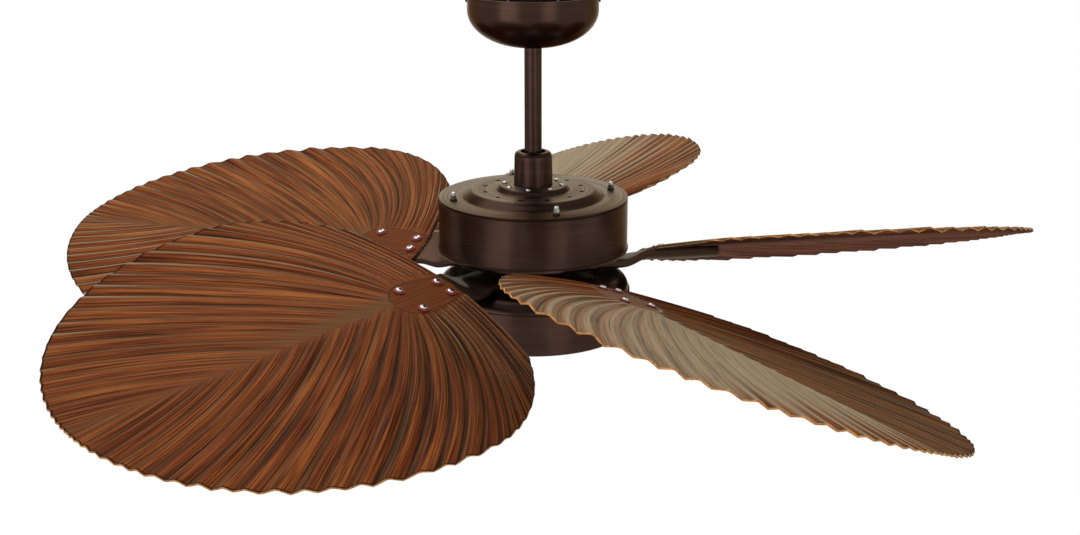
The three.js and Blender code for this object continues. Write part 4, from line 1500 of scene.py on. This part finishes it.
@dataclass(frozen=True)
class Hanger:
    """Canopy and downrod."""

    straight: float = 0.018
    crown: float = 0.010
    canopy_hole: float = 0.020
    rod_wall: float = 0.0022
    rod_edge: float = 0.0005

    def build(self, finishes: Finishes) -> None:
        """Builds the canopy and the rod.

        Args:
            finishes: The fan's materials.
        """
        low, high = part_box("canopy")
        radius, rise = high.x, high.z - low.z - self.straight
        start = math.degrees(math.acos((self.canopy_hole - self.crown) / (radius - self.crown)))
        bowl = arc(self.crown, low.z + rise, radius - self.crown, rise, 0, -start, 28)
        canopy = Bench.turn("canopy_shell", shell([(radius, high.z), *bowl], SHEET), 128)
        Bench.fit(canopy, finishes.bronze, "mount", "bronze", "canopy")
        low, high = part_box("downrod")
        radius, edge = high.x, self.rod_edge
        inside = radius - self.rod_wall
        profile = [(inside, low.z), (radius - edge, low.z), (radius, low.z + edge),
                   (radius, high.z - edge), (radius - edge, high.z), (inside, high.z), (inside, low.z)]
        rod = Bench.turn("downrod_tube", profile, 64)
        Bench.fit(rod, finishes.bronze, "hanging", "bronze", "downrod")


# ------------------------------------------------------------------ motor housing


@dataclass(frozen=True)
class CoverScrews:
    """Slotted pan heads round the foot of the coupling cover."""

    count: int = 8
    circle: float = 0.036
    first: float = math.radians(-55.0)
    each_turn: float = 1.1
    shank: float = 0.0014
    length: float = 0.002
    head: float = 0.0029
    cheek: float = 0.0010
    dome: float = 0.0015
    slot: tuple[float, float, float] = (0.0046, 0.0008, 0.0016)

    def build(self, finishes: Finishes) -> None:
        """Makes one screw and copies it round the cover.

        Args:
            finishes: The fan's materials.
        """
        _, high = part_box("drum_top_plate")
        profile = [(0, -self.length), (self.shank, -self.length), (self.shank, FIT), (self.head, FIT),
                   *arc(0, self.cheek, self.head, self.dome, 0, 90, 5)]
        blank = Bench.turn("pan_blank", profile, 20)
        Bench.drill(blank, [Bench.block(Vector((0, 0, self.cheek + self.dome)), self.slot)])
        Bench.dress(blank, finishes.nickel)
        copies = []
        for i in range(self.count):
            spot = on_circle(self.circle, self.first + 2 * math.pi * i / self.count, high.z)
            turn = Matrix.Rotation(self.each_turn * i, 4, "Z")
            copies.append(Bench.copy(blank, "cover_screws", Matrix.Translation(spot) @ turn))
        Bench.hang(Bench.join(copies, "cover_screws"), "hanging", "steel")
        bpy.data.objects.remove(blank)


@dataclass(frozen=True)
class DomedNut:
    """Domed nut on the plate's rim, on the dark collar that it is screwed down to."""

    tall: float = 0.0075
    hexagon: float = 0.0039
    hexagon_from: float = 0.0024
    hexagon_to: float = 0.0068
    edge_in: float = 0.0003
    edge_up: float = 0.0004
    dome: float = 0.0031
    dome_rise: float = 0.0032
    dome_from: float = 0.0066
    dome_middle: float = 0.0076
    neck: float = 0.0024
    collar: float = 0.0044
    collar_tall: float = 0.006
    stud: float = 0.0023
    seat_thick: float = 0.0018
    seat_in: float = 0.0006

    def build(self, number: int, finishes: Finishes) -> None:
        """Turns the nut, its dome and its collar, and sets them in place.

        Args:
            number: Which of the four nuts.
            finishes: The fan's materials.
        """
        low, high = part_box(f"domed_nut_{number}")
        seat = high.z - self.tall
        under, over = seat + self.hexagon_from, seat + self.hexagon_to
        narrow = self.hexagon - self.edge_in
        hexagon = Bench.turn("nut_base", [
            (0, under), (narrow, under), (self.hexagon, under + self.edge_up),
            (self.hexagon, over - self.edge_up), (narrow, over), (0, over)], 6, 20)
        foot = seat + self.dome_from
        dome = Bench.turn("nut_dome", [
            (0, foot), (self.neck, foot), (self.neck, foot + 0.0006),
            *arc(0, seat + self.dome_middle, self.dome, self.dome_rise, -10, 90, 7)], 28)
        for part in (hexagon, dome):
            Bench.dress(part, finishes.nickel)
        step = low.z + self.collar_tall
        collar = Bench.turn("nut_collar", [
            (0, low.z), (self.collar, low.z), (self.collar, step), (self.stud, step), (self.stud, seat),
            (self.collar, seat), (self.collar, seat + self.seat_thick),
            (self.collar - self.seat_in, under), (0, under)], 24)
        Bench.dress(collar, finishes.casting)
        nut = Bench.join([hexagon, dome, collar], f"acorn_nut_{number}")
        nut.data.transform(Matrix.Translation(((low.x + high.x) / 2, (low.y + high.y) / 2, 0)))
        Bench.hang(nut, "hanging", "nut_chrome", f"domed_nut_{number}")


@dataclass(frozen=True)
class MotorHousing:
    """Coupling cover, stepped top plate and drum, with the small hardware on them."""

    cover_mouth: float = 0.0152
    cover_edge: tuple[float, float] = (0.0008, 0.0006)
    cover_flare: float = 0.0008
    cover_corner: float = 0.0055
    plate_wall: float = 0.002
    plate_mouth: float = 0.0175
    hub_in: float = 0.042
    hub_out: float = 0.0455
    slope_in: float = 0.075
    slope_out: float = 0.0905
    step: float = 0.0082
    vents: int = 12
    vent_circle: float = 0.0618
    vent_radius: float = 0.003
    vent_reach: float = 0.01
    first_vent: float = math.radians(15.8)
    drum_flange: float = 0.022
    drum_corner: float = 0.0022
    drum_mouth: float = 0.086
    bead: float = 0.0012
    bead_rise: float = 0.0045
    lip: float = 0.011
    nuts: int = 4

    def build(self, finishes: Finishes) -> None:
        """Builds the housing from the top down.

        Args:
            finishes: The fan's materials.
        """
        for piece, node in ((self._cover(), "coupling_cover"), (self._plate(), "drum_top_plate"),
                            (self._drum(), "drum_shell")):
            Bench.fit(piece, finishes.bronze, "hanging", "bronze", node)
        CoverScrews().build(finishes)
        for number in range(1, self.nuts + 1):
            DomedNut().build(number, finishes)

    def _cover(self) -> bpy.types.Object:
        """Turns the cover that slides down the rod over the coupling.

        Returns:
            The cover.
        """
        low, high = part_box("coupling_cover")
        foot, round_off = high.x, self.cover_corner
        wide, tall = self.cover_edge
        corner = arc(foot - self.cover_flare - round_off, high.z - round_off,
                     round_off, round_off, 90, 0, 8)
        mouth = [(self.cover_mouth, high.z - tall), (self.cover_mouth + wide, high.z)]
        skin = [*mouth, *corner, (foot, low.z)]
        return Bench.turn("coupling_sleeve", shell(skin, SHEET), 96)

    def _plate(self) -> bpy.types.Object:
        """Turns the stepped plate and drills its vents.

        Returns:
            The plate.
        """
        low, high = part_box("drum_top_plate")
        radius, wall = high.x, self.plate_wall
        rim = low.z + wall
        plateau = rim + self.step
        run = self.slope_out - self.slope_in
        slope = [(self.slope_in + run * t, rim + self.step * (1 - t * t * (3 - 2 * t)))
                 for t in np.linspace(0, 1, 13)]
        hub = round_corner([(self.plate_mouth, high.z), (self.hub_in, high.z), (self.hub_out, plateau),
                            (self.slope_in - 0.004, plateau)], 0.0016, 4)
        edge = [(radius - 0.0012, rim), (radius - 0.0004, rim - 0.0003), (radius, rim - 0.0011)]
        back = [(radius, low.z), (self.slope_out - wall, low.z),
                (self.slope_in - wall / 2, plateau - wall), (self.hub_out, plateau - wall),
                (self.hub_in, high.z - wall), (self.plate_mouth, high.z - wall), hub[0]]
        plate = Bench.turn("stepped_plate", [*hub, *slope, *edge, *back], 128, 24)
        reach = Vector((0, 0, self.vent_reach))
        spots = [on_circle(self.vent_circle, self.first_vent + 2 * math.pi * i / self.vents, plateau)
                 for i in range(self.vents)]
        Bench.drill(plate, [Bench.rod("drill", self.vent_radius, spot - reach, spot + reach, 20)
                            for spot in spots])
        Bench.smooth(plate, 24)
        return plate

    def _drum(self) -> bpy.types.Object:
        """Turns the drum with the bead and the rolled lip at its bottom.

        Returns:
            The drum.
        """
        low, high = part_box("drum_shell")
        radius, round_off = high.x - self.bead, self.drum_corner
        corner = arc(radius - round_off, high.z - round_off, round_off, round_off, 90, 0, 6)
        bottom = low.z + self.bead_rise
        bead = [(radius, bottom + 0.0042), (radius + self.bead * 0.3, bottom + 0.0034),
                (high.x, bottom + 0.0022), (high.x, bottom + 0.0006),
                (radius + self.bead * 0.4, bottom - 0.0008)]
        lip = arc(radius - self.lip, bottom, self.lip, bottom - low.z, -8, -90, 8)
        skin = [(radius - self.drum_flange, high.z), *corner, *bead, *lip, (self.drum_mouth, low.z)]
        return Bench.turn("drum_wall", shell(skin, SHEET), 128, 26)


# ------------------------------------------------------------------ flywheel


@dataclass(frozen=True)
class Flywheel:
    """Disc under the motor with the two posts that carry each iron."""

    neck: float = 0.060
    neck_wall: float = 0.010
    thick: float = 0.006
    edge: float = 0.001
    bore: float = 0.015
    post: float = 0.0045
    post_tall: float = 0.0062
    post_circle: float = 0.062
    post_spread: float = 0.009

    def build(self, finishes: Finishes) -> None:
        """Builds the disc and its posts.

        Args:
            finishes: The fan's materials.
        """
        low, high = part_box("flywheel")
        radius, edge = max(high.x, high.y), self.edge
        under = low.z + self.post_tall
        top = under + self.thick
        inner = self.neck - self.neck_wall
        profile = [(self.bore, under), (radius - edge, under), (radius, under + edge),
                   (radius, top - edge), (radius - edge, top), (self.neck, top), (self.neck, high.z),
                   (inner, high.z), (inner, top), (self.bore, top), (self.bore, under)]
        disc = Bench.turn("flywheel_disc", profile, 96)
        Bench.fit(disc, finishes.casting, "rotor", "bronze", "flywheel")
        posts = []
        for number in range(1, BLADES + 1):
            turn = Matrix.Rotation(blade_turn(number), 4, "Z")
            for side in (-1, 1):
                spot = turn @ Vector((self.post_circle, side * self.post_spread, 0))
                foot, head = Vector((spot.x, spot.y, low.z)), Vector((spot.x, spot.y, under - FIT))
                posts.append(Bench.rod("post", self.post, foot, head))
        Bench.fit(Bench.join(posts, "flywheel_posts"), finishes.brown_rubber, "rotor", "bronze")


# ------------------------------------------------------------------ switch housing


@dataclass(frozen=True)
class SwitchHousing:
    """Round housing under the blades: cap, cup and plug."""

    shoulder: float = 0.018
    corner: float = 0.004
    shaft_hole: float = 0.0093
    plug_hole: float = 0.015
    slot: tuple[float, float, float] = (0.02, 0.0046, 0.012)
    slot_rise: float = 0.00275
    plug_shank: float = 0.0145
    plug_brim: float = 0.0026
    plug_edge: float = 0.0006

    def build(self, finishes: Finishes) -> None:
        """Builds the housing from the top down.

        Args:
            finishes: The fan's materials.
        """
        for piece, node in ((self._cap(), "housing_cap"), (self._cup(), "housing_cup"),
                            (self._plug(), "centre_plug")):
            Bench.fit(piece, finishes.bronze, "hanging", "bronze", node)

    def _cap(self) -> bpy.types.Object:
        """Turns the cap with its round shoulder.

        Returns:
            The cap.
        """
        low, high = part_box("housing_cap")
        radius, round_off = high.x, self.shoulder
        crown = arc(radius - round_off, high.z - round_off, round_off, round_off, 90, 0, 12)
        skin = [(self.shaft_hole, high.z), *crown, (radius, low.z)]
        return Bench.turn("housing_crown", shell(skin, SHEET), 128)

    def _cup(self) -> bpy.types.Object:
        """Turns the cup and cuts the slot of the reversing switch.

        Returns:
            The cup.
        """
        low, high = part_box("housing_cup")
        radius, round_off = high.x, self.corner
        corner = arc(radius - round_off, low.z + round_off, round_off, round_off, 0, -90, 8)
        rim = [(radius - 0.0005, high.z), (radius, high.z - 0.0006)]
        cup = Bench.turn("housing_bowl", shell([*rim, *corner, (self.plug_hole, low.z)], SHEET), 128)
        slider_low, slider_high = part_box("reverse_slider")
        slider = (slider_low + slider_high) / 2
        turn = math.atan2(slider.y, slider.x)
        spot = on_circle(radius, turn, slider.z + self.slot_rise)
        Bench.drill(cup, [Bench.block(spot, self.slot, turn)])
        Bench.smooth(cup)
        return cup

    def _plug(self) -> bpy.types.Object:
        """Turns the domed plug in the middle of the cup.

        Returns:
            The plug.
        """
        low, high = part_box("centre_plug")
        radius, shank = high.x, self.plug_shank
        brim = low.z + self.plug_brim
        dome = arc(0, brim - self.plug_edge, radius - 0.0004, brim - self.plug_edge - low.z, 0, -90, 8)
        profile = [(0, high.z), (shank - 0.0005, high.z), (shank, high.z - 0.0005), (shank, brim),
                   (radius, brim), *dome]
        return Bench.turn("bottom_plug", profile, 64)


# ------------------------------------------------------------------ pieces kept from the CAD


class KeptPieces:
    """CAD nodes whose shape is right as it is: each only gets its finish."""

    STEEL_WORDS = ("pin", "set_screw", "motor_shaft", "bearing")

    @staticmethod
    def dress(finishes: Finishes) -> None:
        """Gives every CAD node a procedural finish, bronze where nothing else is named.

        Args:
            finishes: The fan's materials.
        """
        chosen = {
            finishes.zinc: ("hanger_bracket", "end_bell_upper", "end_bell_lower", "shaft_nut_upper",
                            "shaft_nut_lower"),
            finishes.plastic: ("hanger_ball", "run_capacitor", "reverse_switch", "reverse_slider"),
            finishes.casting: ("rod_coupling",),
            finishes.laminations: ("stator_core", "rotor_ring"),
            finishes.copper: ("winding_upper", "winding_lower"),
        }
        by_name = {name: material for material, names in chosen.items() for name in names}
        for name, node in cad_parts.items():
            steel = any(word in name for word in KeptPieces.STEEL_WORDS)
            material = by_name.get(name, finishes.steel if steel else finishes.bronze)
            Bench.dress(node, material)
            log.info("%s: kept with finish %s", name, material.name)


# ------------------------------------------------------------------ stage


@dataclass(frozen=True)
class Softbox:
    """One soft studio lamp that points at the fan."""

    name: str
    place: tuple[float, float, float]
    size: tuple[float, float]
    watts: float
    aim: tuple[float, float, float] = (0.0, 0.0, -0.3)

    def build(self) -> None:
        """Adds the lamp."""
        lamp = bpy.data.lights.new(self.name, "AREA")
        lamp.shape = "RECTANGLE"
        lamp.size, lamp.size_y = self.size
        lamp.energy = self.watts
        holder = bpy.data.objects.new(self.name, lamp)
        holder.location = self.place
        holder.rotation_euler = (Vector(self.aim) - holder.location).to_track_quat("-Z", "Y").to_euler()
        bpy.context.scene.collection.objects.link(holder)


@dataclass(frozen=True)
class Studio:
    """Camera, pale floor, white surroundings and soft lamps."""

    eye: tuple[float, float, float] = (0.0, -1.8641, 0.2165)
    down: float = math.radians(16.72)
    right: float = math.radians(0.26)
    lens: float = 51.31
    sensor: float = 36.0
    sight: float = 200.0
    floor_drop: float = 5.0
    floor_size: float = 80.0
    floor_tone: Colour = (236, 236, 236)
    fill: float = 0.55
    lamps: tuple[Softbox, ...] = (
        Softbox("left_softbox", place=(-1.9, -2.1, -0.5), size=(1.6, 1.8), watts=17.0),
        Softbox("right_softbox", place=(1.33, -2.47, -0.5), size=(1.1, 1.8), watts=10.0),
        Softbox("top_softbox", place=(-0.8, 0.8, 2.3), size=(3.2, 2.6), watts=88.0),
    )

    def build(self) -> None:
        """Sets up everything that isn't the fan."""
        self._camera()
        self._floor()
        self._world()
        for lamp in self.lamps:
            lamp.build()
        bpy.context.scene.view_settings.view_transform = "Standard"

    def _camera(self) -> None:
        """Adds the camera at the photograph's angle."""
        lens = bpy.data.cameras.new("camera")
        lens.lens = self.lens
        lens.sensor_width = self.sensor
        lens.clip_end = self.sight
        camera = bpy.data.objects.new("camera", lens)
        camera.location = self.eye
        camera.rotation_euler = (math.pi / 2 - self.down, 0, -self.right)
        bpy.context.scene.collection.objects.link(camera)
        bpy.context.scene.camera = camera

    def _floor(self) -> None:
        """Lays the pale floor far below the fan; the camera and gloss see it white."""
        Bench.clear()
        bpy.ops.mesh.primitive_plane_add(size=self.floor_size, location=(0, 0, -self.floor_drop))
        floor = bpy.context.object
        floor.name = "pale_floor"
        sheet = ShaderSheet.material("pale_floor")
        sheet.finish(Base_Color=rgb(self.floor_tone), Roughness=0.9)
        lit = Signal(sheet, sheet.shader.outputs[0])
        glow = sheet.node("ShaderNodeEmission", inputs={"Color": WHITE, "Strength": 1.0})
        mixed = sheet.node("ShaderNodeMixShader", inputs={0: self._seen(sheet), 1: lit, 2: glow})
        sheet.feed(sheet.tree.nodes["Material Output"].inputs["Surface"], mixed)
        Bench.dress(floor, sheet.owner)

    def _world(self) -> None:
        """Lights the fan evenly, and shows white to the camera, gloss and glass."""
        sheet = ShaderSheet(bpy.data.worlds.new("white_studio"), "Background")
        bpy.context.scene.world = sheet.owner
        sheet.finish(Color=WHITE, Strength=self.fill + (1 - self.fill) * self._seen(sheet))

    @staticmethod
    def _seen(sheet: ShaderSheet) -> Signal:
        """Tells what looks at the surroundings.

        Args:
            sheet: Sheet to add the nodes to.

        Returns:
            1 for rays from the camera, from gloss and through glass, and 0 for other light.
        """
        path = sheet.node("ShaderNodeLightPath")
        camera, gloss, glass = sheet.outputs(path, "Is Camera Ray", "Is Glossy Ray",
                                             "Is Transmission Ray")
        return sheet.node("ShaderNodeClamp", inputs={0: camera + gloss + glass})


def main() -> None:
    """Builds the studio, then the fan from the ceiling down."""
    logging.basicConfig(level=logging.INFO, format="%(name)s: %(message)s")
    Studio().build()
    finishes = Finishes.make()
    KeptPieces.dress(finishes)
    Hanger().build(finishes)
    MotorHousing().build(finishes)
    Flywheel().build(finishes)
    leaf = Leaf()
    BladeSet(leaf, BladeIron(leaf), BladeScrew()).build(finishes)
    SwitchHousing().build(finishes)


if __name__ == "__main__":
    main()
